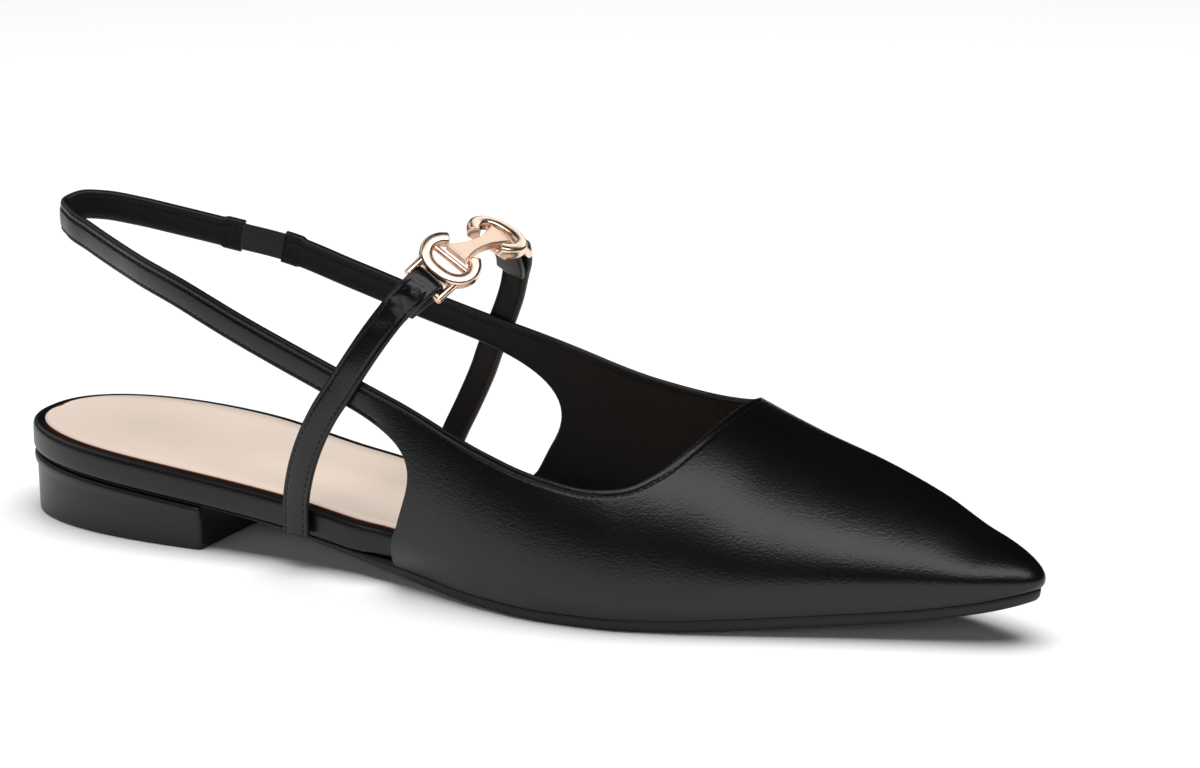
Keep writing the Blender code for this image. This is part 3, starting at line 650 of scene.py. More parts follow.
def path(points, count):
    """Evenly spaced points on a smooth curve through the given ones."""
    fine = fine_path(points)
    return sample(fine, lengths(fine), np.linspace(0, 1, count))


def unit(vectors):
    """Vectors of length one."""
    vectors = np.asarray(vectors, float)
    return vectors / np.linalg.norm(vectors, axis=-1, keepdims=True)


def square_to(vector, axis):
    """The unit vector nearest to vector that is square to an axis."""
    vector = np.asarray(vector, float)
    return unit(vector - axis * (vector @ axis))


def heel_round(x):
    """Share of the full width that the rounded heel leaves at x."""
    back = np.clip((HEEL_ROUND - x) / (HEEL_ROUND - HEEL_BACK), 0, 1)
    return (1 - back ** HEEL_POWER) ** (1 / HEEL_POWER)


def front_share(x, tip, reach):
    """How far x lies into the last reach before a tip, from 0 to 1."""
    return np.clip((x - tip + reach) / reach, 0, 1)


def toe_round(x, tip):
    """Share of the full width that the rounded toe leaves at x."""
    return np.sqrt(1 - front_share(x, tip, TOE_ROUND) ** TOE_POWER)


def nose_round(x):
    """Share of the full height that the blunt nose of the toe leaves at x."""
    return np.sqrt(1 - front_share(x, TOE_TIP, NOSE_ROUND) ** NOSE_POWER)


def outline(x, kind, tip):
    """Lateral and medial y of the sole's or the wall's outline at x."""
    lateral = column(LAST, kind + "_lateral", x)
    medial = column(LAST, kind + "_medial", x)
    centre = (medial - lateral) / 2
    half = (medial + lateral) / 2 * heel_round(x) * toe_round(x, tip)
    return centre - half, centre + half


def feather(x):
    """Height of the feather edge, where the upper meets the outsole."""
    return column(LAST, "feather", x)


def last_point(x, turn):
    """Points of the last's outer surface at x and turn."""
    x, turn = np.broadcast_arrays(np.asarray(x, float), np.asarray(turn, float))
    lateral = turn < 90
    wall = np.where(lateral, *outline(x, "wall", TOE_TIP))
    line = feather(x) + column(LAST, "bulge", x)
    height = (column(LAST, "ridge", x) - line) * nose_round(x)
    middle = column(LAST, "ridge_y", x)
    roundness = column(LAST, "roundness", x)
    up = np.radians(np.clip(np.where(lateral, turn, 180 - turn), 0, 90))
    y = middle + (wall - middle) * np.cos(up) ** (2 / roundness)
    z = line + height * np.sin(up) ** (2 / roundness)
    down = np.clip(np.where(lateral, -turn, turn - 180) / TUCK, 0, 1)
    pull = (TOE_TIP - SOLE_TIP) * front_share(x, TOE_TIP, TOE_ROUND) ** 2
    sole = np.where(lateral, *outline(x - pull, "sole", SOLE_TIP))
    y = y + (sole - wall) * down ** 2
    z = z + (feather(x) - UPPER_SINK - line) * down
    return np.stack([x - pull * down ** 2, y, z], axis=-1)


def turn_at(x, y):
    """The turn of the last's point above x and y."""
    low, high = outline(x, "wall", TOE_TIP)
    middle = column(LAST, "ridge_y", x)
    lateral = y < middle
    reach = np.where(lateral, middle - low, high - middle)
    share = np.clip(np.abs(y - middle) / np.maximum(reach, TINY), 0, 1)
    up = np.degrees(np.arccos(share ** (column(LAST, "roundness", x) / 2)))
    return np.where(lateral, up, 180 - up)


def to_scene(points):
    """Millimetres along the shoe to metres about its middle."""
    middle = (HEEL_BACK + TOE_TIP) / 2
    return (np.asarray(points, float) - (middle, 0, 0)) * MM


def add_object(name, bm, material_names):
    """An object of the scene from a bmesh, with its materials."""
    mesh = bpy.data.meshes.new(name)
    bm.to_mesh(mesh)
    bm.free()
    mesh.shade_smooth()
    for material in material_names:
        mesh.materials.append(bpy.data.materials[material])
    made = bpy.data.objects.new(name, mesh)
    bpy.context.scene.collection.objects.link(made)
    return made


def add_piece(name, bm, material_names, slot, *nodes):
    """A finished piece of the shoe: its materials, its body and the CAD nodes that it stands for."""
    piece = add_object(name, bm, material_names)
    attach(piece, BODY)
    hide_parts(*nodes)
    return piece


def add_grid(bm, points, measures=None, finish=None):
    """Lay a grid of faces over points, with a UV map of measures and the finish of each row of faces."""
    columns, rows = points.shape[:2]
    made = bmesh.ops.create_grid(bm, x_segments=columns - 1, y_segments=rows - 1, size=1.0)["verts"]
    places = {}
    for vert in made:
        i = round((vert.co.x + 1) / 2 * (columns - 1))
        j = round((vert.co.y + 1) / 2 * (rows - 1))
        places[vert] = (i, j)
        vert.co = to_scene(points[i, j])
    layer = bm.loops.layers.uv.verify()
    for face in {face for vert in made for face in vert.link_faces}:
        if measures is not None:
            for loop in face.loops:
                loop[layer].uv = measures[places[loop.vert]]
        if finish is not None:
            face.material_index = finish[min(places[vert][1] for vert in face.verts)]


def close(bm):
    """Close the seams and the ends of a bmesh and turn its faces outwards."""
    bmesh.ops.remove_doubles(bm, verts=bm.verts, dist=WELD * MM)
    bmesh.ops.dissolve_degenerate(bm, edges=bm.edges, dist=WELD * MM)
    bmesh.ops.holes_fill(bm, edges=[edge for edge in bm.edges if edge.is_boundary], sides=0)
    bmesh.ops.recalc_face_normals(bm, faces=bm.faces)


def add_bevel(piece, width):
    """Round the sharp edges of a piece."""
    bevel = piece.modifiers.new("rounding", "BEVEL")
    bevel.width = width * MM
    bevel.segments = BEVEL_SEGMENTS
    bevel.use_clamp_overlap = False
    bevel.limit_method = "ANGLE"
    bevel.angle_limit = math.radians(BEVEL_ANGLE)


def there_and_back(x, lateral, medial):
    """Ring of points from the heel along the lateral side to the toe and back along the medial side."""
    return np.concatenate([np.stack([x, lateral], 1), np.stack([x, medial], 1)[-2:0:-1]])


def sole_ring(inset, cover):
    """Ring of the sole's outline from above, moved in by inset, and by cover more under the vamp.

    It runs from the heel along the lateral side to the toe and back. Along the shoe it moves in square to its
    line. At the toe it gets slimmer and shorter instead, because the tip is rounder than the way in is long.
    """
    share = (1 - np.cos(math.pi * np.linspace(0, 1, SOLE_STATIONS + 1))) / 2
    x = HEEL_BACK + (SOLE_TIP - HEEL_BACK) * share
    low, high = outline(x, "sole", SOLE_TIP)
    moved = inset + cover * ease(x, RAND_COVER_FROM, RAND_COVER_TO)
    ring = there_and_back(x, low, high)
    along = unit(np.roll(ring, -1, axis=0) - np.roll(ring, 1, axis=0))
    inward = np.stack([-along[:, 1], along[:, 0]], 1)
    ring = ring + inward * there_and_back(x, moved, moved)[:, 1:]
    half = (high - low) / 2
    slim = half ** 2 / np.maximum(half + moved, WELD)
    shorter = x - TIP_PULL * moved * share
    tip = there_and_back(shorter, (low + high) / 2 - slim, (low + high) / 2 + slim)
    toe = ease(x, TIP_FROM, TIP_TO)
    return ring + (tip - ring) * there_and_back(x, toe, toe)[:, 1:]


def heel_side(line, breast):
    """One side of the heel block, from its back along a line to the breast, with a rounded corner there."""
    measure = lengths(line)
    reach = np.interp(breast - HEEL_CORNER, line[:, 0], measure)
    side = sample(line, measure, np.linspace(0, reach / measure[-1], HEEL_STATIONS))
    turn = np.linspace(0, math.pi / 2, CORNER_STEPS + 1)[1:, None]
    inward = -np.sign(side[-1, 1])
    corner = side[-1] + HEEL_CORNER * np.hstack([np.sin(turn), inward * (1 - np.cos(turn))])
    return np.concatenate([side, corner])


def heel_ring(inset, breast):
    """D-shaped ring of the heel block from above, moved in: heel, lateral side, breast, medial side."""
    share = 1 - np.cos(math.pi / 2 * np.linspace(0, 1, HEEL_STATIONS))
    x = HEEL_BACK + (HEEL_BREAST - HEEL_BACK) * share
    low, high = outline(x, "sole", SOLE_TIP)
    line = np.concatenate([np.stack([x, high], 1)[:0:-1], np.stack([x, low], 1)])
    along = unit(np.gradient(line, axis=0))
    line = line + np.stack([-along[:, 1], along[:, 0]], 1) * inset
    back = HEEL_STATIONS - 1
    lateral = heel_side(line[back:], breast)
    medial = heel_side(line[back::-1], breast)
    return np.concatenate([lateral, medial[:0:-1]])


def raised(ring, heights):
    """The points of a flat ring at the given heights."""
    return np.column_stack([ring, heights])


def ring_walls(bm, rings):
    """Lay faces round a stack of closed rings."""
    closed = np.array([np.vstack([ring, ring[:1]]) for ring in rings])
    add_grid(bm, closed.transpose(1, 0, 2))


def ring_cap(bm, ring, crown):
    """Close a ring with rungs across the shoe that rise by crown in the middle."""
    count = len(ring)
    stations = count // 2 + 1
    lateral = ring[:stations]
    medial = ring[-np.arange(stations) % count]
    across = np.linspace(0, 1, SOLE_ACROSS + 1)[None, :, None]
    points = lateral[:, None] + (medial - lateral)[:, None] * across
    points[:, :, 2] += crown * 4 * across[..., 0] * (1 - across[..., 0])
    add_grid(bm, points)


def sole_top(x):
    """Top of the footbed."""
    return feather(x) + GAP + column(SOLE, "rand", x)


def outsole_bottom(x):
    """Underside of the outsole, flat on the floor under the ball of the foot."""
    return np.maximum(feather(x) - column(SOLE, "outsole", x), 0.0)


def heel_top(x):
    """Top of the heel block, just under the outsole."""
    return feather(x) - column(SOLE, "outsole", x) - HEEL_GAP


def loft(rings, crown=0.0):
    """A closed bmesh through a stack of rings, its top crowned."""
    bm = bmesh.new()
    ring_walls(bm, rings)
    ring_cap(bm, rings[0], 0.0)
    ring_cap(bm, rings[-1], crown)
    close(bm)
    return bm


def edge_path(rows, shares):
    """Places in x and turn along an edge of the vamp, at shares of its length on the last."""
    fine = fine_path(rows)
    return sample(fine, lengths(last_point(*fine.T)), shares)


def feather_side(x_from, turn):
    """Places along the feather edge from x_from to the tip, closer together at the tip."""
    x = TOE_TIP - (TOE_TIP - x_from) * np.linspace(1, 0, FEATHER_STEPS) ** 2
    fine = np.stack([x, np.full_like(x, turn)], 1)
    shares = 1 - np.linspace(1, 0, BODY_COLUMNS_SIDE + 1) ** TIP_CROWDING
    return sample(fine, lengths(last_point(*fine.T)), shares)


def body_columns():
    """Places in x and turn of the top and the low end of each column of the vamp, lateral side first."""
    cut_shares = np.linspace(0, 1, BODY_COLUMNS_CUT + 1)
    lateral = feather_side(CUT_LATERAL[-1].x, -TUCK)
    medial = feather_side(CUT_MEDIAL[0].x, 180 + TUCK)[::-1]
    low = np.concatenate([
        edge_path(CUT_LATERAL, cut_shares)[:-1],
        lateral,
        medial[1:],
        edge_path(CUT_MEDIAL, cut_shares)[1:],
    ])
    share = np.linspace(0, 1, len(low))
    top = edge_path(TOPLINE, share + TOP_SPREAD * np.sin(2 * math.pi * share) / (2 * math.pi))
    return top, low


def body_column(top, low):
    """Fine polyline on the last down one column of the vamp."""
    lateral = low[1] < 90
    widest = 0.0 if lateral else 180.0
    tucked = low[1] < 0 or low[1] > 180
    share = np.linspace(0, 1, COLUMN_STEPS + 1)
    straight = top + (low - top) * share[:, None]
    bow = COLUMN_BOW * abs(low[1] - top[1]) * (1 - ease(low[0], BOW_FROM, BOW_TO))
    straight[:, 0] += bow * 4 * share * (1 - share)
    if not tucked:
        return last_point(*straight.T)
    level = np.minimum(share / (1 - TUCK_SHARE), 1)
    under = np.clip((share - 1 + TUCK_SHARE) / TUCK_SHARE, 0, 1)
    start = last_point(*top)
    end = last_point(low[0], widest)
    climb = np.radians(np.clip(np.abs(top[1] - widest), LEAST_CLIMB, 90.0)) * (1 - level)
    reach = (np.cos(climb) - np.cos(climb[0])) / (1 - np.cos(climb[0]))
    plan_x = start[0] + (end[0] - start[0]) * reach
    plan_y = start[1] + (end[1] - start[1]) * reach
    plan_turn = np.where(level < 1, turn_at(plan_x, plan_y), widest) + (low[1] - widest) * under
    fanned = np.stack([plan_x, plan_turn], 1)
    return last_point(*(straight + (fanned - straight) * ease(low[0], FAN_FROM, FAN_TO)).T)


def row_places(whole):
    """Distances of a sheet's rows from its first edge, closer together near both edges."""
    near = np.linspace(EDGE_ROUND, EDGE_REACH, EDGE_ROWS)
    far = 1 - np.linspace(1, 0, FACE_ROWS + 1)[1:] ** ROW_CROWDING
    return np.r_[near, EDGE_REACH + (whole - EDGE_ROUND - EDGE_REACH) * far]


def sheet_rows(line):
    """The rows of a sheet down a fine polyline."""
    measure = lengths(line)
    return sample(line, measure, row_places(measure[-1]) / measure[-1])


def strap_face(tops, side, extra):
    """Outer face of the sling below its upper edge, slightly crowned, and wider and thicker by extra."""
    along = unit(np.gradient(tops, axis=0))
    down = np.array([0.0, 0.0, -1.0])
    down = unit(down - along * (along @ down)[:, None])
    out = np.cross(along, down) * side
    face = []
    for top, below, outward, more in zip(tops, down, out, extra):
        width = SLING_WIDTH + 2 * more
        reach = row_places(width)
        crown = 4 * reach / width * (1 - reach / width) * SLING_CAMBER + more / 2
        face.append(top + below * (reach - more)[:, None] + outward * crown[:, None])
    return np.array(face)


def elastic_shares(line, measure):
    """Shares of the sling's upper edge at the two ends of the elastic, on the medial side."""
    medial = np.argmax(line[:, 1] > ELASTIC_WIDTH)
    at = np.interp([ELASTIC_FROM, ELASTIC_TO], line[medial:, 0], measure[medial:])
    return at / measure[-1]


def sling():
    """Upper edge of the sling as a fine polyline, the length along it and the elastic's shares of it."""
    top = body_columns()[0]
    line = fine_path([last_point(*top[0]), *SLING, last_point(*top[-1])])
    measure = lengths(line)
    return line, measure, elastic_shares(line, measure)


def sling_band(loose, tied):
    """Columns of the sling from its loose end at the elastic to the vamp, and their distance from that end.

    The loose end is a little wider and thicker, because the leather is turned over the elastic there.
    """
    line, measure = sling()[:2]
    span = abs(tied - loose) * measure[-1]
    plain = np.linspace(SLEEVE_REACH, span, int(span / STRAP_SPACING))
    away = np.r_[np.linspace(0, SLEEVE_REACH, SLEEVE_COLUMNS), plain[1:]]
    way = np.sign(tied - loose)
    tops = sample(line, measure, loose + way * away / measure[-1])
    extra = SLEEVE_EXTRA * (1 - ease(away, SLEEVE_FROM, SLEEVE_TO))
    return strap_face(tops, way, extra), away


def upper_sheet():
    """Outer face of vamp and sling as one sheet, and how far each column of the sling is from the elastic.

    It runs from the elastic over the medial sling, the vamp and the lateral sling round the heel back to it.
    """
    top, low = body_columns()
    body = np.array([sheet_rows(body_column(t, b)) for t, b in zip(top, low)])
    back, front = sling()[2]
    fore, fore_away = sling_band(front, 1)
    rear, rear_away = sling_band(back, 0)
    points = np.concatenate([fore[:-1], body[::-1], rear[-2::-1]])
    away = np.r_[fore_away[:-1], np.full(len(body), np.inf), rear_away[-2::-1]]
    for joint in (len(fore) - 1, len(fore) + len(body) - 2):
        points = soften(points, joint)
    return points, away


def soften(points, joint):
    """Let the columns of a sheet run smoothly into each other about a joint."""
    share = np.clip(1 - np.abs(np.arange(len(points)) - joint) / JOINT_REACH, 0, 1)[:, None, None] / 2
    for _ in range(JOINT_PASSES):
        beside = (np.roll(points, 1, axis=0) + np.roll(points, -1, axis=0)) / 2
        points = points + (beside - points) * share
    return points


def upper_wall(away):
    """Thickness of vamp and sling at each column, where the vamp is skived thinner than the sling."""
    vamp = np.isinf(away).astype(float)
    vamp = np.convolve(vamp, np.ones(JOINT_REACH) / JOINT_REACH, mode="same")
    return WALL + (VAMP_WALL - WALL) * vamp


def groove(distance):
    """Depth of a stitched groove at a distance from its middle."""
    return GROOVE_DEPTH * np.exp(-(distance / GROOVE_WIDTH) ** 2)


def edge_distances(points):
    """Distances of a sheet's points from its first and from its last edge."""
    down = sheet_measures(points)[..., 1] + EDGE_ROUND
    return down, down[:, -1:] + EDGE_ROUND - down


def upper_grooves(points, away, thread):
    """How deep the stitching pulls in each point of vamp and sling."""
    down, up = edge_distances(points)
    pulled = groove(down - thread.topline_inset / MM)
    pulled = np.maximum(pulled, np.isfinite(away)[:, None] * groove(up - thread.strap_inset / MM))
    for seam in SLEEVE_SEAMS:
        pulled = np.maximum(pulled, groove(away - seam)[:, None])
    return pulled


def sheet_measures(points):
    """Length along a sheet's first edge and distance from that edge, at each point, in millimetres."""
    along = lengths(points[:, 0])
    across = np.array([lengths(row) for row in points])
    return np.stack([np.repeat(along[:, None], points.shape[1], axis=1), across], axis=-1)


def instep_line(rows, link):
    """Middle line of an instep strap from its foot round its link's bar and back, and its way across."""
    bar = np.array(link.bar)
    fold = unit(link.fold)
    across = square_to(link.across, fold)
    out = np.cross(fold, across) * link.side
    radius = BAR_RADIUS + GAP + WALL / 2
    half_turn = np.radians(np.linspace(0, 180, FOLD_COLUMNS))[:, None]
    bend = bar + radius * (np.cos(half_turn) * out + np.sin(half_turn) * fold)
    outer = path([*rows, bend[0] - fold * FOLD_LEAD, bend[0]], INSTEP_COLUMNS)
    measure = lengths(outer)
    back = np.linspace(0, 1, RETURN_COLUMNS)[1:]
    inner = sample(outer, measure, 1 - back * STRAP_RETURN / measure[-1])
    inner = inner - out * (2 * radius + (WALL + 2 * GAP - 2 * radius) * back)[:, None]
    return np.concatenate([outer, bend[1:], inner]), across


def instep_sheet(rows, link):
    """Outer face of an instep strap, slightly crowned, and each column's distance before its fold."""
    line, across = instep_line(rows, link)
    along = unit(np.gradient(line, axis=0))
    sideways = unit(across - along * (along @ across)[:, None])
    out = np.cross(along, sideways) * link.side
    measure = lengths(line)
    before = measure[INSTEP_COLUMNS - 1] - measure
    half = INSTEP_WIDTH / 2 - EDGE_ROUND + INSTEP_FLARE * (1 - ease(before, FLARE_TO, FLARE_FROM))
    share = np.linspace(-1, 1, INSTEP_ROWS) * link.side
    points = line[:, None] + sideways[:, None] * (half[:, None] * share)[..., None]
    points = points + out[:, None] * (WALL / 2 + (1 - share ** 2) * INSTEP_CROWN)[:, None]
    return points, before


def instep_grooves(points, before, thread):
    """How deep stitching and creases pull in each point of an instep strap."""
    down, up = edge_distances(points)
    sewn = (before > thread.pitch / MM)[:, None]
    pulled = np.maximum(groove(down - thread.strap_inset / MM), groove(up - thread.strap_inset / MM)) * sewn
    share = np.linspace(-1, 1, points.shape[1])[None, :]
    for row in CREASES:
        off = (before[:, None] - row.back - row.slant * (share - row.side)) / row.width
        end = (share - row.side) / row.reach
        pulled = pulled + row.depth * np.exp(-off ** 2 - end ** 2)
    return pulled


def edge_round(edge, beside, normals, wall):
    """Rounded edge of a wall, from its outer to its inner face, where beside is the row next to the edge."""
    off = unit(np.cross(np.gradient(edge, axis=0), normals))
    off = off * np.sign(np.sum(off * (edge - beside), axis=1, keepdims=True))
    turn = np.linspace(0, math.pi, EDGE_STEPS + 2)[1:-1, None]
    inward = normals[:, None] * (np.cos(turn) - 1) * wall[:, None, None] / 2
    return edge[:, None] + inward + off[:, None] * np.sin(turn) * EDGE_ROUND


def add_wall(bm, points, pulled, wall):
    """A closed leather wall behind a sheet, both faces pulled in by its grooves.

    Its faces take a material each for the outside, the inside and the rounded edges.
    """
    normals = sheet_normals(points)
    outer = points - normals * pulled[..., None]
    inner = points - normals * (wall[:, None] - pulled)[..., None]
    first = edge_round(points[:, 0], points[:, 1], normals[:, 0], wall)
    last = edge_round(points[:, -1], points[:, -2], normals[:, -1], wall)
    loops = np.concatenate([outer, last, inner[:, ::-1], first[:, ::-1], outer[:, :1]], axis=1)
    faces = points.shape[1] - 1
    rounded = [CUT_EDGE] * (EDGE_STEPS + 1)
    add_grid(bm, loops, finish=[OUTSIDE] * faces + rounded + [INSIDE] * faces + rounded)
    close(bm)


def sheet_normals(points):
    """Outward normals of a sheet's grid of points."""
    along = np.gradient(points, axis=0)
    across = np.gradient(points, axis=1)
    return unit(np.cross(along, across))


def row_at(points, distance, low_edge=False):
    """Places and normals on a sheet at a distance from its first edge, or from its last one."""
    normals = sheet_normals(points)
    places = []
    facing = []
    for row, normal in zip(points, normals):
        measure = lengths(row)
        at = measure[-1] - distance if low_edge else distance
        places.append([np.interp(at, measure, axis) for axis in row.T])
        facing.append([np.interp(at, measure, axis) for axis in normal.T])
    return np.array(places), unit(facing)


def stitch_shape(thread):
    """Mesh of one stitch that lies along x."""
    bm = bmesh.new()
    size = Matrix.Diagonal((thread.length / 2, thread.thickness / 2, thread.thickness / 2, 1.0))
    bmesh.ops.create_uvsphere(bm, u_segments=STITCH_AROUND, v_segments=STITCH_ALONG, radius=1.0,
                              matrix=size @ Matrix.Rotation(math.pi / 2, 4, "Y"))
    shape = bpy.data.meshes.new("stitch")
    bm.to_mesh(shape)
    bm.free()
    return shape


def add_stitches(bm, shape, places, facing, wall, pitch):
    """Sew a row of stitches along a groove, on both faces of a wall."""
    measure = lengths(places)
    count = int(measure[-1] / pitch)
    shares = (np.arange(count) + 0.5) / count
    at = sample(places, measure, shares)
    out = unit(sample(facing, measure, shares))
    along = unit(sample(np.gradient(places, axis=0), measure, shares))
    thick = np.interp(shares * measure[-1], measure, wall)
    for depth in (np.full(count, GROOVE_DEPTH), thick - GROOVE_DEPTH):
        for place, normal, way in zip(to_scene(at - out * depth[:, None]), out, along):
            turned = Matrix((way, np.cross(normal, way), normal)).transposed().to_4x4()
            stitch = shape.copy()
            stitch.transform(Matrix.Translation(Vector(place)) @ turned)
            bm.from_mesh(stitch)
            bpy.data.meshes.remove(stitch)


def add_bar(bm, points, flat, half_width, half_height, power):
    """A bar along points, closed at both ends, whose rounded section stands half_height up along flat."""
    along = unit(np.gradient(points, axis=0))
    around = np.linspace(0, 2 * math.pi, BAR_SIDES + 1)
    wide = half_width * np.sign(np.cos(around)) * np.abs(np.cos(around)) ** (2 / power)
    high = half_height * np.sign(np.sin(around)) * np.abs(np.sin(around)) ** (2 / power)
    rings = []
    for point, way in zip(points, along):
        up = square_to(flat, way)
        rings.append(point + wide[:, None] * np.cross(way, up) + high[:, None] * up)
    add_grid(bm, np.array(rings))
    close(bm)


def new_material(name, colour, roughness, metallic=0.0):
    """A Principled material and its shader node."""
    material = bpy.data.materials.new(name)
    material.use_nodes = True
    shader = material.node_tree.nodes["Principled BSDF"]
    shader.inputs["Base Color"].default_value = (*colour, 1.0)
    shader.inputs["Roughness"].default_value = roughness
    shader.inputs["Metallic"].default_value = metallic
    return material.node_tree, shader


def add_node(tree, kind, **values):
    """A node with the given properties and input values."""
    node = tree.nodes.new(kind)
    for name, value in values.items():
        if name in node.inputs:
            node.inputs[name].default_value = value
        else:
            setattr(node, name, value)
    return node


def object_place(tree):
    """The object coordinates of a material's piece."""
    return add_node(tree, "ShaderNodeTexCoord").outputs["Object"]


def grain_height(tree, cell, share):
    """Height of a leather grain of rounded cells, with a share of noise mixed in."""
    place = add_node(tree, "ShaderNodeMapping", Scale=GRAIN_STRETCH)
    tree.links.new(object_place(tree), place.inputs["Vector"])
    cells = add_node(tree, "ShaderNodeTexVoronoi", feature="SMOOTH_F1", Scale=1.0 / cell, Smoothness=0.6)
    noise = add_node(tree, "ShaderNodeTexNoise", Scale=NOISE_SCALE / cell, Detail=3.0, Roughness=0.6)
    mix = add_node(tree, "ShaderNodeMix", Factor=share)
    tree.links.new(place.outputs["Vector"], cells.inputs["Vector"])
    tree.links.new(place.outputs["Vector"], noise.inputs["Vector"])
    tree.links.new(cells.outputs["Distance"], mix.inputs["A"])
    tree.links.new(noise.outputs["Fac"], mix.inputs["B"])
    return mix.outputs["Result"]


def add_bump(tree, shader, height, distance, strength, before=None):
    """Press a height into a shader's normal, on top of an earlier bump."""
    bump = add_node(tree, "ShaderNodeBump", Distance=distance, Strength=strength)
    tree.links.new(height, bump.inputs["Height"])
    if before is not None:
        tree.links.new(before.outputs["Normal"], bump.inputs["Normal"])
    tree.links.new(bump.outputs["Normal"], shader.inputs["Normal"])
    return bump


def vary_roughness(tree, shader, roughness, patches, change):
    """Let the gloss change softly over a surface, in patches of the given scale."""
    noise = add_node(tree, "ShaderNodeTexNoise", Scale=patches, Detail=2.0)
    spread = add_node(tree, "ShaderNodeMapRange")
    spread.inputs["To Min"].default_value = roughness + change[0]
    spread.inputs["To Max"].default_value = roughness + change[1]
    tree.links.new(object_place(tree), noise.inputs["Vector"])
    tree.links.new(noise.outputs["Fac"], spread.inputs["Value"])
    tree.links.new(spread.outputs["Result"], shader.inputs["Roughness"])


def leather_material(name, colour, roughness, grain, depth):
    """Leather with a softly changing gloss and a fine grain: cells in metres, depth in millimetres."""
    tree, shader = new_material(name, colour, roughness)
    shader.inputs["Specular IOR Level"].default_value = LEATHER_SPECULAR
    add_bump(tree, shader, grain_height(tree, grain, GRAIN_NOISE), depth * MM, GRAIN_STRENGTH)
    vary_roughness(tree, shader, roughness, LEATHER_PATCHES, LEATHER_CHANGE)
    return shader


def sock_material(name, colour):
    """Matte lining leather with soft cloudy colour."""
    tree, shader = new_material(name, colour, roughness=0.62)
    clouds = add_node(tree, "ShaderNodeTexNoise", Scale=45.0, Detail=4.0, Roughness=0.6)
    shades = add_node(tree, "ShaderNodeMix", data_type="RGBA")
    shades.inputs[MIX_FIRST].default_value = (*(value * SOCK_DARK for value in colour), 1.0)
    shades.inputs[MIX_SECOND].default_value = (*(min(value * SOCK_LIGHT, 1.0) for value in colour), 1.0)
    tree.links.new(object_place(tree), clouds.inputs["Vector"])
    tree.links.new(clouds.outputs["Fac"], shades.inputs[MIX_FACTOR])
    tree.links.new(shades.outputs[MIX_RESULT], shader.inputs["Base Color"])
    add_bump(tree, shader, grain_height(tree, cell=0.0009, share=0.6), distance=0.00006, strength=0.4)


def elastic_material(name, colour):
    """Matte woven elastic with ribs along its length."""
    tree, shader = new_material(name, colour, roughness=0.85)
    shader.inputs["Sheen Weight"].default_value = 0.12
    shader.inputs["Sheen Roughness"].default_value = 0.5
    uv = add_node(tree, "ShaderNodeUVMap")
    ribs = add_node(
        tree, "ShaderNodeTexWave", wave_type="BANDS", bands_direction="Y", Scale=0.45, Distortion=0.4)
    picks = add_node(
        tree, "ShaderNodeTexWave", wave_type="BANDS", bands_direction="X", Scale=0.8, Distortion=0.6)
    both = add_node(tree, "ShaderNodeMath", operation="MULTIPLY")
    for i, wave in enumerate((ribs, picks)):
        tree.links.new(uv.outputs["UV"], wave.inputs["Vector"])
        tree.links.new(wave.outputs["Fac"], both.inputs[i])
    add_bump(tree, shader, both.outputs["Value"], distance=0.00025, strength=0.8)


def metal_material(name, colour, roughness, scale, depth):
    """Plating with the fine marks of its finish, of the given scale and depth millimetres deep."""
    tree, shader = new_material(name, colour, roughness, metallic=1.0)
    noise = add_node(tree, "ShaderNodeTexNoise", Scale=scale, Detail=2.0)
    tree.links.new(object_place(tree), noise.inputs["Vector"])
    add_bump(tree, shader, noise.outputs["Fac"], depth * MM, strength=0.3)
    vary_roughness(tree, shader, roughness, METAL_PATCHES, METAL_CHANGE)


class SANDAL_OT_materials(bpy.types.Operator):
    """Make the materials of leather, thread, elastic, sole and metal"""

    bl_idname = "sandal.materials"
    bl_label = "Materials"

    def execute(self, context):
        leather = context.scene.sandal_leather
        thread = context.scene.sandal_thread
        metal = context.scene.sandal_metal
        grain = leather.grain
        leather_material("upper_leather", leather.colour, leather.roughness, grain, depth=0.08)
        lining = leather_material("upper_lining", leather.lining, roughness=0.55, grain=grain, depth=0.05)
        lining.inputs["Specular IOR Level"].default_value = LINING_SPECULAR
        leather_material("upper_edge", leather.cut, roughness=0.42, grain=grain, depth=0.04)
        leather_material("rand_leather", leather.colour, roughness=0.36, grain=grain, depth=0.06)
        leather_material("heel_leather", leather.colour, roughness=0.40, grain=grain, depth=0.03)
        leather_material("outsole_sheet", leather.outsole, roughness=0.55, grain=0.0004, depth=0.04)
        leather_material("sock_raw_edge", leather.sock_edge, roughness=0.7, grain=0.0005, depth=0.05)
        leather_material("thread", thread.colour, roughness=0.6, grain=0.0002, depth=0.03)
        sock_material("sock_leather", leather.sock)
        elastic_material("elastic_weave", leather.elastic)
        metal_material("polished_gold", metal.colour, metal.roughness, scale=1600.0, depth=0.002)
        metal_material("satin_gold", metal.colour, metal.satin, scale=3200.0, depth=0.03)
        return {"FINISHED"}


class SANDAL_OT_vamp_and_sling(bpy.types.Operator):
    """Make the vamp and the sling strap as one wall of leather"""

    bl_idname = "sandal.vamp_and_sling"
    bl_label = "Vamp and sling"

    def execute(self, context):
        points, away = upper_sheet()
        bm = bmesh.new()
        add_wall(bm, points, upper_grooves(points, away, context.scene.sandal_thread), upper_wall(away))
        add_piece("vamp_and_sling", bm, WALL_MATERIALS, "upper", "upper")
        return {"FINISHED"}


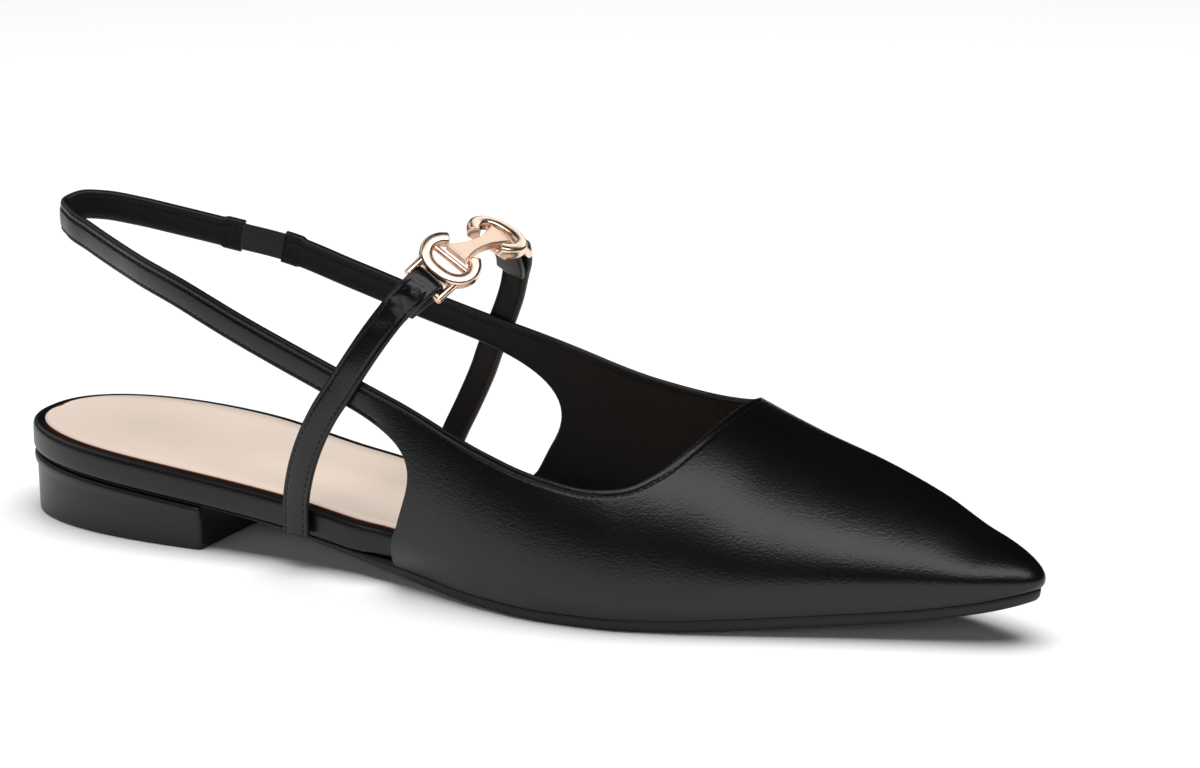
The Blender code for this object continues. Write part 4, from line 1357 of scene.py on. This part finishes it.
class SANDAL_OT_instep_straps(bpy.types.Operator):
    """Make the two instep straps, folded round the bars of the clasp"""

    bl_idname = "sandal.instep_straps"
    bl_label = "Instep straps"

    def execute(self, context):
        for side, rows in INSTEP.items():
            points, before = instep_sheet(rows, LINKS[side])
            bm = bmesh.new()
            pulled = instep_grooves(points, before, context.scene.sandal_thread)
            add_wall(bm, points, pulled, np.full(len(points), WALL))
            add_piece("instep_strap_" + side, bm, WALL_MATERIALS, "upper", "upper")
        return {"FINISHED"}


class SANDAL_OT_stitching(bpy.types.Operator):
    """Sew the rows of stitches along the topline, the sling and the straps"""

    bl_idname = "sandal.stitching"
    bl_label = "Stitching"

    def execute(self, context):
        thread = context.scene.sandal_thread
        topline = thread.topline_inset / MM - EDGE_ROUND
        edge = thread.strap_inset / MM - EDGE_ROUND
        pitch = thread.pitch / MM
        shape = stitch_shape(thread)
        bm = bmesh.new()
        points, away = upper_sheet()
        wall = upper_wall(away)
        normals = sheet_normals(points)
        add_stitches(bm, shape, *row_at(points, topline), wall, pitch)
        vamp = np.flatnonzero(np.isinf(away))
        for band in (slice(None, vamp[0]), slice(vamp[-1] + 1, None)):
            add_stitches(bm, shape, *row_at(points[band], edge, True), wall[band], pitch)
            for seam in SLEEVE_SEAMS:
                i = np.argmin(np.abs(away[band] - seam))
                seam_wall = np.full(points.shape[1], wall[band][i])
                add_stitches(bm, shape, points[band][i], normals[band][i], seam_wall, pitch)
        for side, rows in INSTEP.items():
            strap, before = instep_sheet(rows, LINKS[side])
            strap = strap[before > pitch]
            for low_edge in (False, True):
                add_stitches(bm, shape, *row_at(strap, edge, low_edge), np.full(len(strap), WALL), pitch)
        bpy.data.meshes.remove(shape)
        add_piece("upper_stitching", bm, ("thread",), "upper")
        return {"FINISHED"}


class SANDAL_OT_sole(bpy.types.Operator):
    """Make the outsole, the heel block and the footbed with its wrapped rand"""

    bl_idname = "sandal.sole"
    bl_label = "Sole and heel"

    def execute(self, context):
        self.make_outsole()
        self.make_heel()
        self.make_footbed()
        return {"FINISHED"}

    def make_outsole(self):
        """The outsole from heel to toe, with a rounded edge."""
        rings = []
        for row in OUTSOLE:
            ring = sole_ring(OUTSOLE_INSET + HEEL_RECESS + row.inset, -HEEL_RECESS)
            x = ring[:, 0]
            rings.append(raised(ring, outsole_bottom(x) + row.rise * (feather(x) - outsole_bottom(x))))
        add_piece("outsole_sheet", loft(rings), ("outsole_sheet",), "outsole", "outsole")

    def make_heel(self):
        """The heel block, with a rounded foot and a lip under its top."""
        rings = []
        for row in HEEL_FOOT:
            ring = heel_ring(HEEL_INSET + HEEL_TAPER + row.inset, HEEL_BREAST - row.inset)
            rings.append(raised(ring, np.full(len(ring), row.above)))
        for row in HEEL_SIDE:
            ring = heel_ring(HEEL_INSET + row.inset, HEEL_BREAST)
            rings.append(raised(ring, heel_top(ring[:, 0]) - row.below))
        bm = bmesh.new()
        ring_walls(bm, rings)
        close(bm)
        add_piece("heel_stack", bm, ("heel_leather",), "heel_block", "heel_block")

    def make_footbed(self):
        """The footbed, with a rand whose edge is rounded."""
        rings = []
        for row in RAND:
            ring = sole_ring(row.inset, RAND_COVERED)
            x = ring[:, 0]
            rings.append(raised(ring, feather(x) + GAP + row.rise * column(SOLE, "rand", x)))
        add_piece("footbed_rand", loft(rings), ("rand_leather",), "footbed", "footbed")


class SANDAL_OT_sock(bpy.types.Operator):
    """Make the leather sock that lies on the footbed"""

    bl_idname = "sandal.sock"
    bl_label = "Sock"

    def execute(self, context):
        ring = sole_ring(SOCK_INSET, RAND_COVERED)
        low = raised(ring, sole_top(ring[:, 0]) + SOCK_GAP)
        bm = loft([low, low + (0, 0, SOCK_THICKNESS)], -SOCK_DISH)
        for face in bm.faces:
            face.material_index = 0 if abs(face.normal.z) > SOCK_EDGE_RISE else 1
        add_piece("sock", bm, ("sock_leather", "sock_raw_edge"), "insole_sock", "insole_sock")
        return {"FINISHED"}


class SANDAL_OT_elastic(bpy.types.Operator):
    """Make the elastic that is let into the sling"""

    bl_idname = "sandal.elastic"
    bl_label = "Elastic"

    def execute(self, context):
        line, measure, (back, front) = sling()
        tops = sample(line, measure, np.linspace(back, front, ELASTIC_COLUMNS))
        band = strap_face(tops, 1, np.zeros(ELASTIC_COLUMNS))
        margin = (1 - ELASTIC_WIDTH / (SLING_WIDTH - 2 * EDGE_ROUND)) / 2
        share = np.linspace(margin, 1 - margin, ELASTIC_ROWS)[None, :, None]
        points = band[:, :1] + (band[:, -1:] - band[:, :1]) * share
        points = points - sheet_normals(points) * (WALL / 2)
        bm = bmesh.new()
        add_grid(bm, points, sheet_measures(points))
        piece = add_piece("elastic_band", bm, ("elastic_weave",), "sling_elastic", "sling_elastic")
        solid = piece.modifiers.new("wall", "SOLIDIFY")
        solid.thickness = ELASTIC_THICKNESS * MM
        solid.offset = 0
        return {"FINISHED"}


class SANDAL_OT_clasp(bpy.types.Operator):
    """Make the two links of the clasp and the plate between them"""

    bl_idname = "sandal.clasp"
    bl_label = "Clasp"

    def execute(self, context):
        for side, link in LINKS.items():
            self.make_link(side, link)
        self.make_plate()
        return {"FINISHED"}

    def make_link(self, side, link):
        """A horseshoe with its pin, its bar and the two posts that carry the bar."""
        lead = unit(link.lead)
        across = square_to(link.across, lead)
        up = np.cross(lead, across) * -link.side
        bar_axis = square_to(link.across, unit(link.fold))

        def place(along, sideways):
            """A place in the plane of the horseshoe."""
            return np.array(link.tips) + lead * along + across * sideways

        def on_bar(sideways):
            """A place on the axis of the bar."""
            return np.array(link.bar) + bar_axis * sideways

        half = [place(row.along, row.across) for row in HORSESHOE]
        other = [place(row.along, -row.across) for row in HORSESHOE]
        ring = path(half + other[-2::-1], LINK_COLUMNS)
        pin = np.array([place(link.pin, -PIN_HALF), place(link.pin, PIN_HALF)]) - up * link.pin_drop
        bm = bmesh.new()
        add_bar(bm, ring, up, LINK_HALF_WIDTH, LINK_HALF_HEIGHT, LINK_POWER)
        add_bar(bm, pin, up, PIN_RADIUS, PIN_RADIUS, ROUND_POWER)
        bar = np.array([on_bar(-BAR_HALF), on_bar(BAR_HALF)])
        add_bar(bm, bar, up, BAR_RADIUS, BAR_RADIUS, ROUND_POWER)
        for sign in (-1, 1):
            start = place(POST_FROM, sign * POST_OFFSET)
            end = on_bar(sign * POST_OFFSET)
            end = end + unit(end - start) * POST_END
            add_bar(bm, np.array([start, end]), up, POST_RADIUS, POST_RADIUS, ROUND_POWER)
        piece = add_piece("clasp_link_" + side, bm, ("polished_gold",), "clasp", "bit_link_" + side)
        add_bevel(piece, CLASP_BEVEL)

    def make_plate(self):
        """The waisted plate, flat and with flared ends."""
        across = unit(PLATE_ACROSS)
        along = np.array([0.0, 1.0, 0.0])
        out = np.cross(along, across)
        u = np.linspace(-PLATE_HALF_LENGTH, PLATE_HALF_LENGTH, PLATE_COLUMNS + 1)
        half = column(PLATE, "half_width", np.abs(u))
        line = np.array(PLATE_MIDDLE) + u[:, None] * along
        points = line[:, None] + across * (half[:, None] * np.linspace(-1, 1, PLATE_ROWS))[..., None]
        bm = bmesh.new()
        add_grid(bm, points - out * PLATE_THICKNESS / 2)
        bmesh.ops.solidify(bm, geom=bm.faces[:], thickness=PLATE_THICKNESS * MM)
        bmesh.ops.recalc_face_normals(bm, faces=bm.faces)
        piece = add_piece("clasp_plate", bm, ("satin_gold",), "clasp", "bit_plate")
        add_bevel(piece, CLASP_BEVEL)


class SANDAL_OT_stage(bpy.types.Operator):
    """Make the floor, the light and the camera"""

    bl_idname = "sandal.stage"
    bl_label = "Stage"

    def execute(self, context):
        scene = context.scene
        stage = scene.sandal_stage
        self.make_floor(stage.floor)
        for row in PANELS:
            self.make_panel(scene, row, getattr(stage, row.power))
        self.make_surroundings(scene, stage.fill)
        self.make_camera(scene)
        return {"FINISHED"}

    def make_floor(self, colour):
        """A plain matte floor with a trace of unevenness."""
        tree, shader = new_material("studio_floor", colour, roughness=0.9)
        noise = add_node(tree, "ShaderNodeTexNoise", Scale=30.0)
        tree.links.new(object_place(tree), noise.inputs["Vector"])
        add_bump(tree, shader, noise.outputs["Fac"], distance=0.0001, strength=0.05)
        bm = bmesh.new()
        bmesh.ops.create_grid(bm, x_segments=FLOOR_CELLS, y_segments=FLOOR_CELLS, size=FLOOR_REACH)
        add_object("studio_floor", bm, ("studio_floor",))

    def make_panel(self, scene, row, power):
        """A soft panel that points at the shoe and lights nothing but its pieces, or all but those."""
        light = bpy.data.lights.new(row.name, "AREA")
        light.shape = "RECTANGLE"
        light.size, light.size_y = row.size
        light.energy = power
        panel = bpy.data.objects.new(row.name, light)
        aim = (-Vector(row.place)).to_track_quat("-Z", "Y").to_matrix().to_4x4()
        panel.matrix_world = Matrix.Translation(row.place) @ aim
        scene.collection.objects.link(panel)
        linked = bpy.data.collections.new(row.name)
        panel.light_linking.receiver_collection = linked
        for i, piece in enumerate(row.pieces):
            linked.objects.link(bpy.data.objects[piece])
            linked.collection_objects[i].light_linking.link_state = row.state

    def make_surroundings(self, scene, fill):
        """White light from all around, and colours shown without a film look."""
        world = bpy.data.worlds.new("studio")
        world.use_nodes = True
        background = world.node_tree.nodes["Background"]
        background.inputs["Color"].default_value = (1.0, 1.0, 1.0, 1.0)
        background.inputs["Strength"].default_value = fill
        scene.world = world
        scene.view_settings.view_transform = "Standard"

    def make_camera(self, scene):
        """The camera of the photograph's view."""
        lens = bpy.data.cameras.new("camera")
        lens.sensor_fit = "HORIZONTAL"
        lens.sensor_width = SENSOR_WIDTH
        lens.lens = CAMERA_LENS
        camera = bpy.data.objects.new("camera", lens)
        turn = Matrix.Rotation(math.radians(CAMERA_AZIMUTH), 4, "Z")
        tilt = Matrix.Rotation(math.radians(90 - CAMERA_ELEVATION), 4, "X")
        roll = Matrix.Rotation(math.radians(CAMERA_ROLL), 4, "Z")
        camera.matrix_world = Matrix.Translation(CAMERA_PLACE) @ turn @ tilt @ roll
        scene.collection.objects.link(camera)
        scene.camera = camera


class SANDAL_PT_looks(bpy.types.Panel):
    """Sizes, colours and pieces of the sandal"""

    bl_idname = "SANDAL_PT_looks"
    bl_label = "Sandal looks"
    bl_space_type = "VIEW_3D"
    bl_region_type = "UI"
    bl_category = "Sandal"

    def draw(self, context):
        layout = self.layout
        for group in GROUPS:
            settings = getattr(context.scene, group)
            box = layout.box()
            for name in settings.__annotations__:
                box.prop(settings, name)
        for operator in OPERATORS:
            layout.operator(operator.bl_idname)


GROUPS = {
    "sandal_leather": SandalLeather,
    "sandal_thread": SandalThread,
    "sandal_metal": SandalMetal,
    "sandal_stage": SandalStage,
}
OPERATORS = (
    SANDAL_OT_materials,
    SANDAL_OT_sole,
    SANDAL_OT_sock,
    SANDAL_OT_vamp_and_sling,
    SANDAL_OT_instep_straps,
    SANDAL_OT_elastic,
    SANDAL_OT_stitching,
    SANDAL_OT_clasp,
    SANDAL_OT_stage,
)


def register():
    """Make the settings, the operators and the panel known to Blender."""
    for kind in (*GROUPS.values(), *OPERATORS, SANDAL_PT_looks):
        bpy.utils.register_class(kind)
    for name, group in GROUPS.items():
        setattr(bpy.types.Scene, name, PointerProperty(type=group))


def unregister():
    """Take away what register made known."""
    for name in GROUPS:
        delattr(bpy.types.Scene, name)
    for kind in (SANDAL_PT_looks, *reversed(OPERATORS), *GROUPS.values()):
        bpy.utils.unregister_class(kind)


def main():
    """Make all pieces and the stage."""
    register()
    bpy.ops.sandal.materials()
    bpy.ops.sandal.sole()
    bpy.ops.sandal.sock()
    bpy.ops.sandal.vamp_and_sling()
    bpy.ops.sandal.instep_straps()
    bpy.ops.sandal.elastic()
    bpy.ops.sandal.stitching()
    bpy.ops.sandal.clasp()
    bpy.ops.sandal.stage()


if __name__ == "__main__":
    main()
